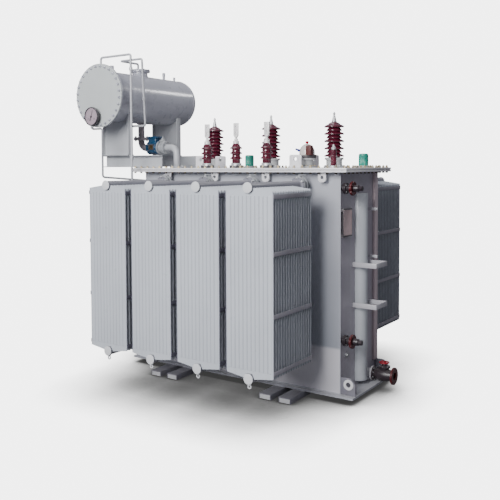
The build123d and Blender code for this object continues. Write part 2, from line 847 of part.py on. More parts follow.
# Gate valve next to the relay, and the pipe from it down to the cover
gate_end = relay_end + gate_length
oil_drop_x = conservator_x + oil_drop_offset
with BuildPart() as relay_gate_valve:
    stepped(((gate_flange_radius, gate_flange_thickness),
             (gate_body_radius, gate_length - 2 * gate_flange_thickness),
             (gate_flange_radius, gate_flange_thickness)), (relay_end, oil_y, oil_axis_height), (1, 0, 0))
save(relay_gate_valve, "relay_gate_valve")

with BuildPart() as oil_inlet:
    bent_pipe([(gate_end, oil_y, oil_axis_height), (oil_drop_x, oil_y, oil_axis_height),
               (oil_drop_x, oil_y, cover_top)], oil_pipe_radius, oil_bend)
    with Locations((oil_drop_x, oil_y, cover_top + oil_foot_thickness / 2)):
        Cylinder(oil_foot_radius, oil_foot_thickness)
save(oil_inlet, "oil_inlet")

# Two oil valves on the drain end wall, near its top and low down
upper_valve_height = rim_bottom - oil_valve_drop
with BuildPart() as oil_valves:
    for height in (upper_valve_height, floor_top + oil_valve_rise):
        stepped(oil_valve_steps, (half_length, oil_valve_y, height), (1, 0, 0))
save(oil_valves, "oil_valves")

# Brackets on the drain end wall: two bars bent round the rib, and three short arms
with BuildPart() as end_brackets:
    for height in bracket_heights:
        with BuildSketch(Plane.XY.offset(height - bracket_bar_height / 2)):
            with BuildLine():
                reach = half_length + bracket_reach
                side_y = bracket_width / 2
                inside_x = reach - bracket_bar_thickness
                inside_y = side_y - bracket_bar_thickness
                Polyline((half_length, bracket_y - side_y), (reach, bracket_y - side_y),
                         (reach, bracket_y + side_y), (half_length, bracket_y + side_y),
                         (half_length, bracket_y + inside_y), (inside_x, bracket_y + inside_y),
                         (inside_x, bracket_y - inside_y), (half_length, bracket_y - inside_y), close=True)
            make_face()
        extrude(amount=bracket_bar_height)
    for height in arm_heights:
        plate((half_length, half_length + arm_reach),
              (arm_y - arm_bar_thickness / 2, arm_y + arm_bar_thickness / 2),
              (height - arm_bar_height / 2, height + arm_bar_height / 2))
save(end_brackets, "end_brackets")

# Nameplate board under the upper oil valve, held off the wall by a rail at top and bottom
with BuildPart() as nameplate_board:
    board_x = half_length + board_standoff
    span_y = (board_y - board_width / 2, board_y + board_width / 2)
    board_middle = upper_valve_height - board_below_valve
    board_low = board_middle - board_length / 2
    board_high = board_middle + board_length / 2
    plate((board_x, board_x + board_thickness), span_y, (board_low, board_high))
    plate((half_length, board_x), span_y, (board_low, board_low + board_rail_height))
    plate((half_length, board_x), span_y, (board_high - board_rail_height, board_high))
save(nameplate_board, "nameplate_board")

# Drain valve: stub, flange pair, body and outlet flange along +X, bonnet and stem upwards
bonnet_x = half_length + drain_bonnet_reach
drain_height = floor_top + drain_flange_radius + drain_floor_gap
with BuildPart() as drain_valve:
    stepped(((drain_stub_radius, drain_stub_length), (drain_flange_radius, drain_flange_thickness),
             (drain_body_radius, drain_body_length), (drain_outlet_radius, drain_outlet_thickness)),
            (half_length, drain_y, drain_height), (1, 0, 0))
    stepped(((bonnet_radius, bonnet_height - bonnet_flange_height),
             (bonnet_flange_radius, bonnet_flange_height), (gland_radius, gland_height),
             (stem_radius, stem_height)), (bonnet_x, drain_y, drain_height), UP)
    outlet_root = half_length + drain_stub_length + drain_flange_thickness + drain_body_length
    outlet_face = outlet_root + drain_outlet_thickness
    with Locations(Plane(origin=(outlet_face, drain_y, drain_height), z_dir=(1, 0, 0))):
        Hole(drain_bore_radius, depth=drain_bore_depth)
        with PolarLocations(drain_bolt_circle, drain_bolt_count, start_angle=45):
            Hole(drain_bolt_radius, depth=drain_outlet_thickness)
save(drain_valve, "drain_valve")

# Handwheel: bored hub on the stem, four spokes and a round rim
wheel_foot = drain_height + bonnet_height + gland_height + curved_gap
with BuildPart() as drain_handwheel:
    with Locations((bonnet_x, drain_y, wheel_foot + wheel_hub_height / 2)):
        Cylinder(wheel_hub_radius, wheel_hub_height)
        Torus(wheel_rim_radius, wheel_rim_section)
        with PolarLocations((wheel_hub_radius + wheel_rim_radius) / 2, wheel_spoke_count):
            Box(wheel_rim_radius - wheel_hub_radius + wheel_rim_section, wheel_spoke_width,
                wheel_spoke_height)
        Cylinder(stem_radius + running_gap, wheel_hub_height, mode=Mode.SUBTRACT)
save(drain_handwheel, "drain_handwheel")
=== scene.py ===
from math import cos, pi, radians, sin, tau

import bmesh
import bpy
from mathutils import Matrix, Vector


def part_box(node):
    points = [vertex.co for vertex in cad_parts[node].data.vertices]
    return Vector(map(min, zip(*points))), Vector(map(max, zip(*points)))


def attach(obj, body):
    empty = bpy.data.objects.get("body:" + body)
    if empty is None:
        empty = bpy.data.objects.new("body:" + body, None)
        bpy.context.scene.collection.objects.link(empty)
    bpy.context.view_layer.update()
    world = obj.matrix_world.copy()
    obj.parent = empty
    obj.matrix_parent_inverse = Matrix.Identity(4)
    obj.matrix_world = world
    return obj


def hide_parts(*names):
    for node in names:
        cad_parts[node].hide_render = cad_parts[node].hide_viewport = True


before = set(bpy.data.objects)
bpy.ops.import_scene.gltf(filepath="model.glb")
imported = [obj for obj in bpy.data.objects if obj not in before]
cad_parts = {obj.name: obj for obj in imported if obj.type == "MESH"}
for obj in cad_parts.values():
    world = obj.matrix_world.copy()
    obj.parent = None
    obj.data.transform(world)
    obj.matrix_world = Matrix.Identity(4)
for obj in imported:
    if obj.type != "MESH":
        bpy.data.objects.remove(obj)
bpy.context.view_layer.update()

# Tank steelwork
# Skids, base and walls are rolled plate, welded up and sprayed with grey machinery enamel that is uneven,
# dusty on what faces up, and streaked and dirty towards the ground. The long walls carry a painted
# reflection that darkens them downwards and a pale band at the foot that is a painted reflection of the
# floor.


def socket(tree, name, kind, way, value=None):
    """Adds one named socket to a node group."""
    made = tree.interface.new_socket(name=name, in_out=way, socket_type=kind)
    if value is not None:
        made.default_value = value


def add(tree, kind, **settings):
    """Adds a shader node and sets its own options."""
    node = tree.nodes.new(kind)
    for option, value in settings.items():
        setattr(node, option, value)
    return node


def feed(tree, node, **values):
    """Links or sets a node's inputs, by name with underscores for blanks or by number, as i0."""
    for name, value in values.items():
        numbered = name[0] == "i" and name[1:].isdigit()
        place = node.inputs[int(name[1:]) if numbered else name.replace("_", " ")]
        if isinstance(value, bpy.types.NodeSocket):
            tree.links.new(value, place)
        else:
            place.default_value = value
    return node


def noise(tree, where, scale, detail=3.0, stretch=None):
    """A noise pattern on the piece's own coordinates, stretched if asked, as a value from 0 to 1."""
    if stretch:
        mapping = feed(tree, add(tree, "ShaderNodeMapping"), Vector=where, Scale=stretch)
        where = mapping.outputs["Vector"]
    return feed(tree, add(tree, "ShaderNodeTexNoise"), Vector=where, Scale=scale,
                Detail=detail).outputs["Fac"]


def span(tree, value, low, high, to_low, to_high):
    """Maps a value's range to another, clamped."""
    return feed(tree, add(tree, "ShaderNodeMapRange"), Value=value, From_Min=low, From_Max=high,
                To_Min=to_low, To_Max=to_high).outputs["Result"]


def sum_of(tree, kind, first, second):
    """One arithmetic step."""
    return feed(tree, add(tree, "ShaderNodeMath", operation=kind), i0=first, i1=second).outputs[0]


def blended(tree, share, first, second):
    """Mixes two colours."""
    return feed(tree, add(tree, "ShaderNodeMix", data_type="RGBA"), i0=share, i6=first, i7=second).outputs[2]


def own_place(tree):
    """Where a point lies on the piece."""
    return add(tree, "ShaderNodeTexCoord").outputs["Object"]


def split(tree, vector):
    """A vector's X, Y and Z, by name."""
    return feed(tree, add(tree, "ShaderNodeSeparateXYZ"), i0=vector).outputs


enamel = bpy.data.node_groups.new("sprayed_enamel", "ShaderNodeTree")
socket(enamel, "Colour", "NodeSocketColor", "INPUT", (0.5, 0.5, 0.5, 1))
socket(enamel, "Unevenness", "NodeSocketFloat", "INPUT", 0.06)
socket(enamel, "Dust", "NodeSocketFloat", "INPUT", 0.15)
socket(enamel, "Grime", "NodeSocketFloat", "INPUT", 0.2)
socket(enamel, "Gloss roughness", "NodeSocketFloat", "INPUT", 0.35)
socket(enamel, "Color", "NodeSocketColor", "OUTPUT")
socket(enamel, "Roughness", "NodeSocketFloat", "OUTPUT")
socket(enamel, "Height", "NodeSocketFloat", "OUTPUT")
given = add(enamel, "NodeGroupInput").outputs
where = own_place(enamel)
cloud = span(enamel, noise(enamel, where, 2.2, 4), 0.3, 0.7, -1, 1)
uneven = sum_of(enamel, "ADD", sum_of(enamel, "MULTIPLY", cloud, given["Unevenness"]), 1.0)
toned = feed(enamel, add(enamel, "ShaderNodeVectorMath", operation="SCALE"), i0=given["Colour"],
             i3=uneven).outputs[0]
streak = span(enamel, noise(enamel, where, 1.0, 2, (16, 16, 0.7)), 0.52, 0.75, 0, 1)
ground = span(enamel, split(enamel, where)["Z"], 0.0, 1.1, 1, 0)
spots = span(enamel, noise(enamel, where, 9.0, 6), 0.45, 0.75, 0, 1)
low_dirt = sum_of(enamel, "MULTIPLY", sum_of(enamel, "MULTIPLY", ground, ground),
                  sum_of(enamel, "ADD", spots, 0.35))
dirt = sum_of(enamel, "MULTIPLY", sum_of(enamel, "ADD", sum_of(enamel, "MULTIPLY", streak, 0.3), low_dirt),
              given["Grime"])
dirty = blended(enamel, dirt, toned, (0.10, 0.095, 0.085, 1))
facing = split(enamel, add(enamel, "ShaderNodeNewGeometry").outputs["Normal"])["Z"]
lying = sum_of(enamel, "MULTIPLY", span(enamel, facing, 0.55, 0.95, 0, 1), given["Dust"])
settled = sum_of(enamel, "MULTIPLY", lying, span(enamel, noise(enamel, where, 5.0, 5), 0.3, 0.65, 0.4, 1))
dusty = blended(enamel, settled, dirty, (0.62, 0.60, 0.56, 1))
dull = sum_of(enamel, "ADD", sum_of(enamel, "MULTIPLY", dirt, 0.4), sum_of(enamel, "MULTIPLY", settled, 0.6))
patchy = span(enamel, noise(enamel, where, 14.0, 3), 0.3, 0.7, -0.05, 0.05)
finish = sum_of(enamel, "ADD", sum_of(enamel, "ADD", given["Gloss roughness"], patchy), dull)
peel = sum_of(enamel, "ADD", sum_of(enamel, "MULTIPLY", noise(enamel, where, 420.0, 1), 0.5),
              sum_of(enamel, "MULTIPLY", noise(enamel, where, 30.0, 3), 0.5))
feed(enamel, add(enamel, "NodeGroupOutput"), Color=dusty, Roughness=finish, Height=peel)


def new_material(name):
    """A new material, with its tree and its shader."""
    material = bpy.data.materials.new(name)
    material.use_nodes = True
    return material, material.node_tree, material.node_tree.nodes["Principled BSDF"]


def enamelled(name, colour, unevenness=0.06, dust=0.2, grime=0.25, roughness=0.35, coat=0.15,
              peel_depth=0.0006, coat_roughness=0.25):
    """A sprayed paint in one colour, with the shared enamel effects at this finish's strengths."""
    material, tree, shader = new_material(name)
    skin = add(tree, "ShaderNodeGroup", node_tree=enamel)
    feed(tree, skin, Colour=(*colour, 1), Unevenness=unevenness, Dust=dust, Grime=grime,
         Gloss_roughness=roughness)
    relief = feed(tree, add(tree, "ShaderNodeBump"), Strength=0.35, Distance=peel_depth,
                  Height=skin.outputs["Height"])
    feed(tree, shader, Base_Color=skin.outputs["Color"], Roughness=skin.outputs["Roughness"],
         Normal=relief.outputs["Normal"], Coat_Weight=coat, Coat_Roughness=coat_roughness)
    return material


def soiled(material, share, colour):
    """Lays another colour over a paint, by a share that varies over the surface; here it paints shade, shadow
    and reflections.
    """
    tree = material.node_tree
    shader = tree.nodes["Principled BSDF"]
    clean = shader.inputs["Base Color"].links[0].from_socket
    feed(tree, shader, Base_Color=blended(tree, share, clean, (*colour, 1)))


tank_colour = (0.42, 0.43, 0.475)
tank_enamel = enamelled("tank_enamel", tank_colour)
skid_enamel = enamelled("skid_enamel", (0.20, 0.195, 0.235), dust=0.1, grime=0.35, roughness=0.45)


def dress(node, material):
    """Gives a steel part that is shown as modelled its finish."""
    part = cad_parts[node]
    for holder in part.material_slots:
        holder.material = material


# A darker, pinker copy of the tank paint for the end walls: painted shade.
end_wall_painted_shade = enamelled("end_wall_painted_shade", (0.395, 0.375, 0.425))
dress("base_plate", tank_enamel)
for wall in ("tank_left_wall", "tank_right_wall"):
    dress(wall, end_wall_painted_shade)
wall_painted_reflection = enamelled("wall_painted_reflection", tank_colour)
reflected_wall = wall_painted_reflection.node_tree
wall_level = split(reflected_wall, own_place(reflected_wall))["Z"]
# Painted reflection: the long walls are darkened towards the foot.
soiled(wall_painted_reflection, span(reflected_wall, wall_level, 0.5, 1.7, 0.45, 0.0), (0.20, 0.225, 0.27))
# Painted reflection of the white floor: a pale band at the foot of the long walls.
soiled(wall_painted_reflection, span(reflected_wall, wall_level, 0.515, 0.545, 0.75, 0.0), (0.68, 0.66, 0.70))
for wall in ("tank_front_wall", "tank_back_wall"):
    dress(wall, wall_painted_reflection)


def solo(piece):
    """Leaves one piece selected and active, out of edit mode."""
    if bpy.context.mode != "OBJECT":
        bpy.ops.object.mode_set(mode="OBJECT")
    bpy.ops.object.select_all(action="DESELECT")
    piece.select_set(True)
    bpy.context.view_layer.objects.active = piece


def soften(piece, width, segments=2, angle=35):
    """Breaks the sharp edges with a small bevel and smooths what is left between them."""
    solo(piece)
    if width:
        edge = piece.modifiers.new("edge", "BEVEL")
        edge.width = width
        edge.segments = segments
        edge.limit_method = "ANGLE"
        edge.angle_limit = radians(angle)
        edge.use_clamp_overlap = True
        bpy.ops.object.modifier_apply(modifier=edge.name)
    bpy.ops.object.shade_smooth_by_angle(angle=radians(angle))
    return piece


def belongs(piece, material, slot, *nodes, body="transformer"):
    """Finishes a piece: its paint, the body that carries it, and the plain parts it stands for. The slot is
    not used.
    """
    piece.data.materials.clear()
    piece.data.materials.append(material)
    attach(piece, body)
    if nodes:
        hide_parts(*nodes)
    return piece


def copied(name, model, place=Matrix()):
    """A copy of a model with a mesh of its own, moved to a place."""
    copy = bpy.data.objects.new(name, model.data.copy())
    bpy.context.scene.collection.objects.link(copy)
    copy.data.transform(place)
    return copy


def eased(node, material, slot, width):
    """A steel part with its edges broken, made from a merged copy of the plain part."""
    copy = copied("eased_" + node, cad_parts[node])
    solo(copy)
    bpy.ops.object.mode_set(mode="EDIT")
    bpy.ops.mesh.select_all(action="SELECT")
    bpy.ops.mesh.remove_doubles(threshold=1e-5)
    bpy.ops.mesh.dissolve_limited(angle_limit=radians(1))
    bpy.ops.object.mode_set(mode="OBJECT")
    soften(copy, width)
    return belongs(copy, material, slot, node)


eased("skids", skid_enamel, "skid_grey", 0.004)

# Skid end plates
# A thin plate is welded into each end of the skid channels to keep dirt out. It is set a little
# back from the cut edge and painted a paler grey than the skids.


def joined(name, pieces):
    """Joins several meshes into one piece."""
    solo(pieces[0])
    for piece in pieces[1:]:
        piece.select_set(True)
    if len(pieces) > 1:
        bpy.ops.object.join()
    whole = bpy.context.object
    whole.name = name
    return whole


def block(name, centre, size):
    """A cube stretched to a size, with its place in its mesh."""
    bpy.ops.object.select_all(action="DESELECT")
    bpy.ops.mesh.primitive_cube_add(size=1, location=centre, scale=size)
    piece = bpy.context.object
    piece.name = name
    bpy.ops.object.transform_apply(location=True, rotation=True, scale=True)
    return piece


skid_end_enamel = enamelled("skid_end_enamel", (0.62, 0.62, 0.64), dust=0.2, grime=0.12)
skid_low, skid_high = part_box("skids")
skid_width, skid_wall, skid_spacing = 0.140, 0.010, 0.232
plate_gap, plate_depth = 0.004, 0.006
outer_skids = (skid_low.x + skid_width / 2, skid_high.x - skid_width / 2)
plate_height = skid_high.z - skid_wall - plate_gap
plate_size = (skid_width - 2 * skid_wall, plate_depth, plate_height)
end_plates = []
for x in (*outer_skids, outer_skids[0] + skid_spacing, outer_skids[1] - skid_spacing):
    for y in (skid_low.y + plate_depth, skid_high.y - plate_depth):
        plate = block("plate", (x, y, plate_gap + plate_height / 2), plate_size)
        end_plates.append(soften(plate, 0.0015))
belongs(joined("skid_end_plates", end_plates), skid_end_enamel, "skid_grey")

# Weld beads
# Steel beads run round the foot of the tank on the base plate and up its four corners. They are
# ground smooth and carry the tank's own enamel.


def drawn(name, points):
    """Draws a line of edges from corner to corner and stays in edit mode."""
    bpy.ops.object.select_all(action="DESELECT")
    bpy.ops.mesh.primitive_plane_add(size=0.01, location=(0, 0, 0))
    piece = bpy.context.object
    piece.name = name
    bpy.ops.object.mode_set(mode="EDIT")
    bpy.ops.mesh.select_mode(type="VERT")
    bpy.ops.mesh.select_all(action="SELECT")
    bpy.ops.mesh.merge(type="CENTER")
    bpy.ops.transform.translate(value=points[0])
    for start, end in zip(points, points[1:]):
        bpy.ops.mesh.extrude_vertices_move(TRANSFORM_OT_translate={"value": Vector(end) - Vector(start)})
    return piece


def rod(name, points, radius, bend=0.0, turns=4, sides=4, closed=False):
    """Draws a route, rounds its corners and gives it a round section."""
    drawn(name, points)
    if closed:
        bpy.ops.mesh.select_all(action="SELECT")
        bpy.ops.mesh.remove_doubles(threshold=1e-5)
    if bend:
        choose(lambda vertex: len(vertex.link_edges) == 2, "VERT")
        bpy.ops.mesh.bevel(affect="VERTICES", offset_type="OFFSET", offset=bend, segments=turns)
    bpy.ops.object.mode_set(mode="OBJECT")
    bpy.ops.object.convert(target="CURVE")
    line = bpy.context.object.data
    line.dimensions = "3D"
    line.bevel_depth = radius
    line.bevel_resolution = sides
    line.use_fill_caps = True
    bpy.ops.object.convert(target="MESH")
    return soften(bpy.context.object, 0, angle=40)


def choose(test, kind="FACE"):
    """In edit mode, selects the faces, edges or corners that pass a test, and nothing else."""
    bpy.ops.mesh.select_mode(type=kind)
    bpy.ops.mesh.select_all(action="DESELECT")
    shape = bmesh.from_edit_mesh(bpy.context.object.data)
    for part in {"VERT": shape.verts, "EDGE": shape.edges, "FACE": shape.faces}[kind]:
        if test(part):
            part.select_set(True)
    shape.select_flush_mode()
    bmesh.update_edit_mesh(bpy.context.object.data)


bead_radius = 0.007
wall_low, wall_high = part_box("tank_front_wall")
back_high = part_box("tank_back_wall")[1]
foot = [(wall_low.x, wall_low.y), (wall_high.x, wall_low.y), (wall_high.x, back_high.y),
        (wall_low.x, back_high.y)]
beads = [rod("bead", [(x, y, wall_low.z) for x, y in foot + foot[:1]], bead_radius, sides=1, closed=True)]
for x, y in foot:
    beads.append(rod("bead", [(x, y, wall_low.z), (x, y, wall_high.z)], bead_radius * 0.7, sides=1))
belongs(joined("weld_beads", beads), tank_enamel, "tank_grey")

# Rim, gasket and cover
# The cover is a flat plate bolted down on the tank's rim flange over a black rubber gasket.
# Its edges are broken by grinding before paint.
rim_enamel = enamelled("rim_enamel", (0.77, 0.76, 0.785), dust=0.3, grime=0.15)
gasket_rubber = enamelled("gasket_rubber", (0.02, 0.02, 0.022), dust=0.1, grime=0.1, roughness=0.7, coat=0.0)
eased("tank_flange", rim_enamel, "tank_grey", 0.002)
eased("tank_cover", rim_enamel, "tank_grey", 0.002)
dress("cover_gasket", gasket_rubber)

# Rim bolts
# Zinc-plated bolts clamp the cover all round: a hexagon head and washer below, a nut, washer and
# bare stud end above. The zinc is passivated yellow and tarnished; the heads below carry a painted shadow
# that makes them near black.


def drum(name, radius, depth, centre, axis="Z", corners=24):
    """A cylinder set at its place, with its place in its mesh."""
    turn = {"Z": (0, 0, 0), "X": (0, pi / 2, 0), "Y": (pi / 2, 0, 0)}[axis]
    bpy.ops.object.select_all(action="DESELECT")
    bpy.ops.mesh.primitive_cylinder_add(vertices=corners, radius=radius, depth=depth, location=centre,
                                        rotation=turn)
    piece = bpy.context.object
    piece.name = name
    bpy.ops.object.transform_apply(location=True, rotation=True, scale=True)
    return piece


def pressed(piece, test, *insets, each=False):
    """Insets the faces that pass a test, once for each thickness and depth."""
    solo(piece)
    bpy.ops.object.mode_set(mode="EDIT")
    choose(test)
    for thickness, depth in insets:
        bpy.ops.mesh.inset(thickness=thickness, depth=depth, use_individual=each)
    bpy.ops.object.mode_set(mode="OBJECT")
    return piece


def hexagon(name, across, height, bottom, domed):
    """A hexagon nut or head standing on a height, with its corners turned off at the top or bottom."""
    piece = drum(name, across / 2, height, (0, 0, bottom + height / 2), corners=6)
    return pressed(piece, lambda face: face.normal.z * domed > 0.9, (across * 0.07, across * 0.05))


def clamp_bolt(size, grip):
    """A bolt through a joint of this grip, from 0 down: nut, washer and stud end above, head below."""
    washer = size * 0.16
    parts = [drum("washer", size * 1.05, washer, (0, 0, washer / 2), corners=14),
             hexagon("nut", size * 1.75, size * 0.8, washer, 1),
             drum("stud", size * 0.48, size * 0.7, (0, 0, washer + size * 1.1), corners=10),
             drum("washer", size * 1.05, washer, (0, 0, -grip - washer / 2), corners=14),
             hexagon("head", size * 1.75, size * 0.7, -grip - washer - size * 0.7, -1)]
    pressed(parts[2], lambda face: face.normal.z > 0.9, (size * 0.1, size * 0.06))
    return soften(joined("bolt", parts), 0, angle=30)


def repeated(name, model, places):
    """Copies a model to each place, with a mesh of its own, and joins the copies."""
    copies = [copied(name, model, place) for place in places]
    bpy.data.objects.remove(model)
    return joined(name, copies)


plating = bpy.data.node_groups.new("plated_metal", "ShaderNodeTree")
socket(plating, "Bright", "NodeSocketColor", "INPUT", (0.7, 0.7, 0.7, 1))
socket(plating, "Dull", "NodeSocketColor", "INPUT", (0.3, 0.3, 0.3, 1))
socket(plating, "Polish", "NodeSocketFloat", "INPUT", 0.35)
socket(plating, "Color", "NodeSocketColor", "OUTPUT")
socket(plating, "Roughness", "NodeSocketFloat", "OUTPUT")
socket(plating, "Height", "NodeSocketFloat", "OUTPUT")
given = add(plating, "NodeGroupInput").outputs
where = own_place(plating)
tarnish = span(plating, noise(plating, where, 24.0, 5), 0.35, 0.65, 0, 1)
scratch = noise(plating, where, 120.0, 2, (1, 1, 5))
worn = blended(plating, tarnish, given["Bright"], given["Dull"])
rough = sum_of(plating, "ADD", given["Polish"], span(plating, scratch, 0.3, 0.7, -0.06, 0.12))
feed(plating, add(plating, "NodeGroupOutput"), Color=worn, Roughness=rough, Height=scratch)


def plated(name, bright, dull, polish, relief_depth=0.0004, metallic=1.0):
    """A bare or plated metal with patchy tarnish and fine scratches."""
    material, tree, shader = new_material(name)
    skin = feed(tree, add(tree, "ShaderNodeGroup", node_tree=plating), Bright=(*bright, 1), Dull=(*dull, 1),
                Polish=polish)
    relief = feed(tree, add(tree, "ShaderNodeBump"), Strength=0.3, Distance=relief_depth,
                  Height=skin.outputs["Height"])
    feed(tree, shader, Base_Color=skin.outputs["Color"], Roughness=skin.outputs["Roughness"],
         Normal=relief.outputs["Normal"], Metallic=metallic)
    return material


gold = ((0.74, 0.61, 0.38), (0.40, 0.36, 0.30), 0.38)
gold_zinc = plated("gold_zinc", *gold)
grey_zinc = plated("grey_zinc", (0.66, 0.67, 0.68), (0.36, 0.37, 0.38), 0.36)
rim_low, rim_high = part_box("tank_flange")
cover_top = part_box("tank_cover")[1].z
bolt_inset = 0.036
bolts_long, bolts_short = 30, 12
bolt_rows = []
for step in range(bolts_long):
    x = rim_low.x + bolt_inset + step * (rim_high.x - rim_low.x - 2 * bolt_inset) / (bolts_long - 1)
    bolt_rows += [(x, rim_low.y + bolt_inset), (x, rim_high.y - bolt_inset)]
for step in range(1, bolts_short - 1):
    y = rim_low.y + bolt_inset + step * (rim_high.y - rim_low.y - 2 * bolt_inset) / (bolts_short - 1)
    bolt_rows += [(rim_low.x + bolt_inset, y), (rim_high.x - bolt_inset, y)]
frame_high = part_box("conservator_frame")[1]
beam_width, beam_clear = 0.058, 0.03


def under_beam(x, y):
    """Whether a rim bolt's place is under one of the conservator's channels."""
    beside = frame_high.y - beam_width - beam_clear < abs(y) < frame_high.y + beam_clear
    return x < frame_high.x + beam_clear and beside


rim_places = [Matrix.Translation((x, y, cover_top)) for x, y in bolt_rows if not under_beam(x, y)]
rim_bolts = repeated("rim_bolts", clamp_bolt(0.016, cover_top - rim_low.z), rim_places)
rim_zinc = plated("rim_zinc", *gold)
bolt_tree = rim_zinc.node_tree
bolt_level = split(bolt_tree, own_place(bolt_tree))["Z"]
# Painted shadow under the rim: the bolt heads below it are painted near black.
soiled(rim_zinc, span(bolt_tree, bolt_level, rim_low.z, rim_low.z + 0.01, 0.85, 0), (0.02, 0.018, 0.022))
belongs(rim_bolts, rim_zinc, "terminal_metal")

# Stiffeners and lugs
# A half-round rib and a flat edge bar stiffen each end wall; bored lugs for hauling stand on the
# base and for lifting on the cover. All are steel, welded on; the stiffeners' paint is lighter and bluer,
# painted light, and the edge bars carry a pink painted reflection.
# A lighter, bluer copy of the tank paint on the stiffeners: painted light.
stiffener_light_and_reflection = enamelled("stiffener_light_and_reflection", (0.50, 0.525, 0.56))
ribs = stiffener_light_and_reflection.node_tree
# Painted reflection: a pink tint on the edge bars, away from the wall's middle.
off_centre = sum_of(ribs, "ABSOLUTE", split(ribs, own_place(ribs))["Y"], 0.0)
pink_painted_reflection = span(ribs, off_centre, 0.28, 0.29, 0, 0.6)
soiled(stiffener_light_and_reflection, pink_painted_reflection, (0.60, 0.42, 0.44))
eased("end_stiffeners", stiffener_light_and_reflection, "tank_grey", 0.003)
eased("tow_lugs", skid_enamel, "tank_grey", 0.003)
eased("lifting_lugs", rim_enamel, "tank_grey", 0.003)

# Radiators
# Each radiator is a stack of pressed sheet panels with eleven channels, seam welded round the edge and
# between the channels, and notched at its ends round the header pipes. Flat straps tie the stack. Painted
# shade darkens the seams and, inside the row, the panels' edges and the straps.
radiator_enamel = enamelled("radiator_enamel", (0.50, 0.53, 0.575), unevenness=0.04, dust=0.25, grime=0.15,
                            roughness=0.32)
stack_low, stack_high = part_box("front_radiator_1")
row_middle = (stack_low.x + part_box("front_radiator_4")[1].x) / 2
row_half = row_middle - stack_low.x


def between_radiators(tree):
    """A mask that is 1 inside the row of radiators and 0 on the outer sides of its two ends."""
    along = split(tree, own_place(tree))["X"]
    off_middle = sum_of(tree, "ABSOLUTE", sum_of(tree, "SUBTRACT", along, row_middle), 0.0)
    return span(tree, off_middle, row_half - 0.030, row_half - 0.025, 1, 0)


presswork = radiator_enamel.node_tree
# Painted shade: the seam faces and, inside the row, the panels' edge strips are darkened.
seam = add(presswork, "ShaderNodeAttribute", attribute_name="seam").outputs["Fac"]
edge = sum_of(presswork, "MAXIMUM", sum_of(presswork, "SUBTRACT", seam, 1.0), 0.0)
gap_shade = sum_of(presswork, "MULTIPLY", edge, between_radiators(presswork))
seam_shade = sum_of(presswork, "MULTIPLY", seam, 0.3)
soiled(radiator_enamel, sum_of(presswork, "ADD", seam_shade, gap_shade), (0.07, 0.07, 0.10))
panel_count = 16
panel_depth = 0.012
panel_pitch = (stack_high.y - stack_low.y - panel_depth) / (panel_count - 1)
panel_width = stack_high.x - stack_low.x
seam_depth = 0.004
shoulder = 0.030
panel_half = (stack_high.z - stack_low.z) / 2 - shoulder
channel_count = 11
edge_seam = 0.016
shaded_edge = 0.008
channel_pitch = (panel_width - 2 * edge_seam) / channel_count
channel_seam = 0.008
notch_half = 0.052
notch_flat = 0.031
notch_floor = -0.016
channel_end = panel_half - 0.045


def channel_lines():
    """The X lines of the seams between the channels."""
    first = -panel_width / 2 + edge_seam
    lines = []
    for step in range(channel_count + 1):
        lines += [first + step * channel_pitch - channel_seam / 2,
                  first + step * channel_pitch + channel_seam / 2]
    return [line for line in lines if abs(line) < panel_width / 2 - 0.001]


def edge_rise(x):
    """How far the panel's end stands above its corner: up to the header, then down into the notch."""
    if abs(x) >= notch_half:
        return shoulder * (panel_width / 2 - abs(x)) / (panel_width / 2 - notch_half)
    share = max(0.0, (abs(x) - notch_flat) / (notch_half - notch_flat))
    return notch_floor + share * (shoulder - notch_floor)


def in_channel(x):
    """Whether a face's middle lies in one of the channels."""
    along = (x + panel_width / 2 - edge_seam) / channel_pitch
    off_middle = abs(along % 1 - 0.5) * channel_pitch
    return 0 < along < channel_count and off_middle < (channel_pitch - channel_seam) / 2


def at_corner(edge):
    """Whether an edge runs through the sheet at one of the panel's four corners."""
    start, end = (vertex.co for vertex in edge.verts)
    through = abs(start.y - end.y) > 1e-4
    return through and abs(start.x) > panel_width / 2 - 1e-4 and abs(start.z) > channel_end + 1e-3


def on_notch(edge):
    """Whether an edge starts on one of the lines of the notch."""
    return min(abs(abs(edge.verts[0].co.x) - line) for line in (notch_half, notch_flat)) < 1e-4


def sheet(face):
    """Whether a face lies in the sheet, between the ends of the channels."""
    return abs(face.normal.y) > 0.9 and abs(face.calc_center_median().z) < channel_end


panel = block("panel", (0, 0, 0), (panel_width, seam_depth, 2 * panel_half))
bpy.ops.object.mode_set(mode="EDIT")
seam_lines = channel_lines() + [-notch_half, -notch_flat, notch_flat, notch_half]
seam_lines += [shaded_edge - panel_width / 2, panel_width / 2 - shaded_edge]
for line in seam_lines:
    bpy.ops.mesh.select_all(action="SELECT")
    bpy.ops.mesh.bisect(plane_co=(line, 0, 0), plane_no=(1, 0, 0))
for level in (-channel_end, channel_end):
    bpy.ops.mesh.select_all(action="SELECT")
    bpy.ops.mesh.bisect(plane_co=(0, 0, level), plane_no=(0, 0, 1))
for line in seam_lines:
    for end in (-1, 1):
        choose(lambda vertex: abs(vertex.co.x - line) < 1e-4 and vertex.co.z * end > channel_end + 1e-3,
               "VERT")
        bpy.ops.transform.translate(value=(0, 0, end * edge_rise(line)))
choose(lambda edge: abs(edge.verts[0].co.z - edge.verts[1].co.z) > channel_end and on_notch(edge), "EDGE")
bpy.ops.mesh.dissolve_edges(use_verts=False)
choose(at_corner, "EDGE")
bpy.ops.mesh.bevel(affect="EDGES", offset=shaded_edge * 0.95, segments=3)
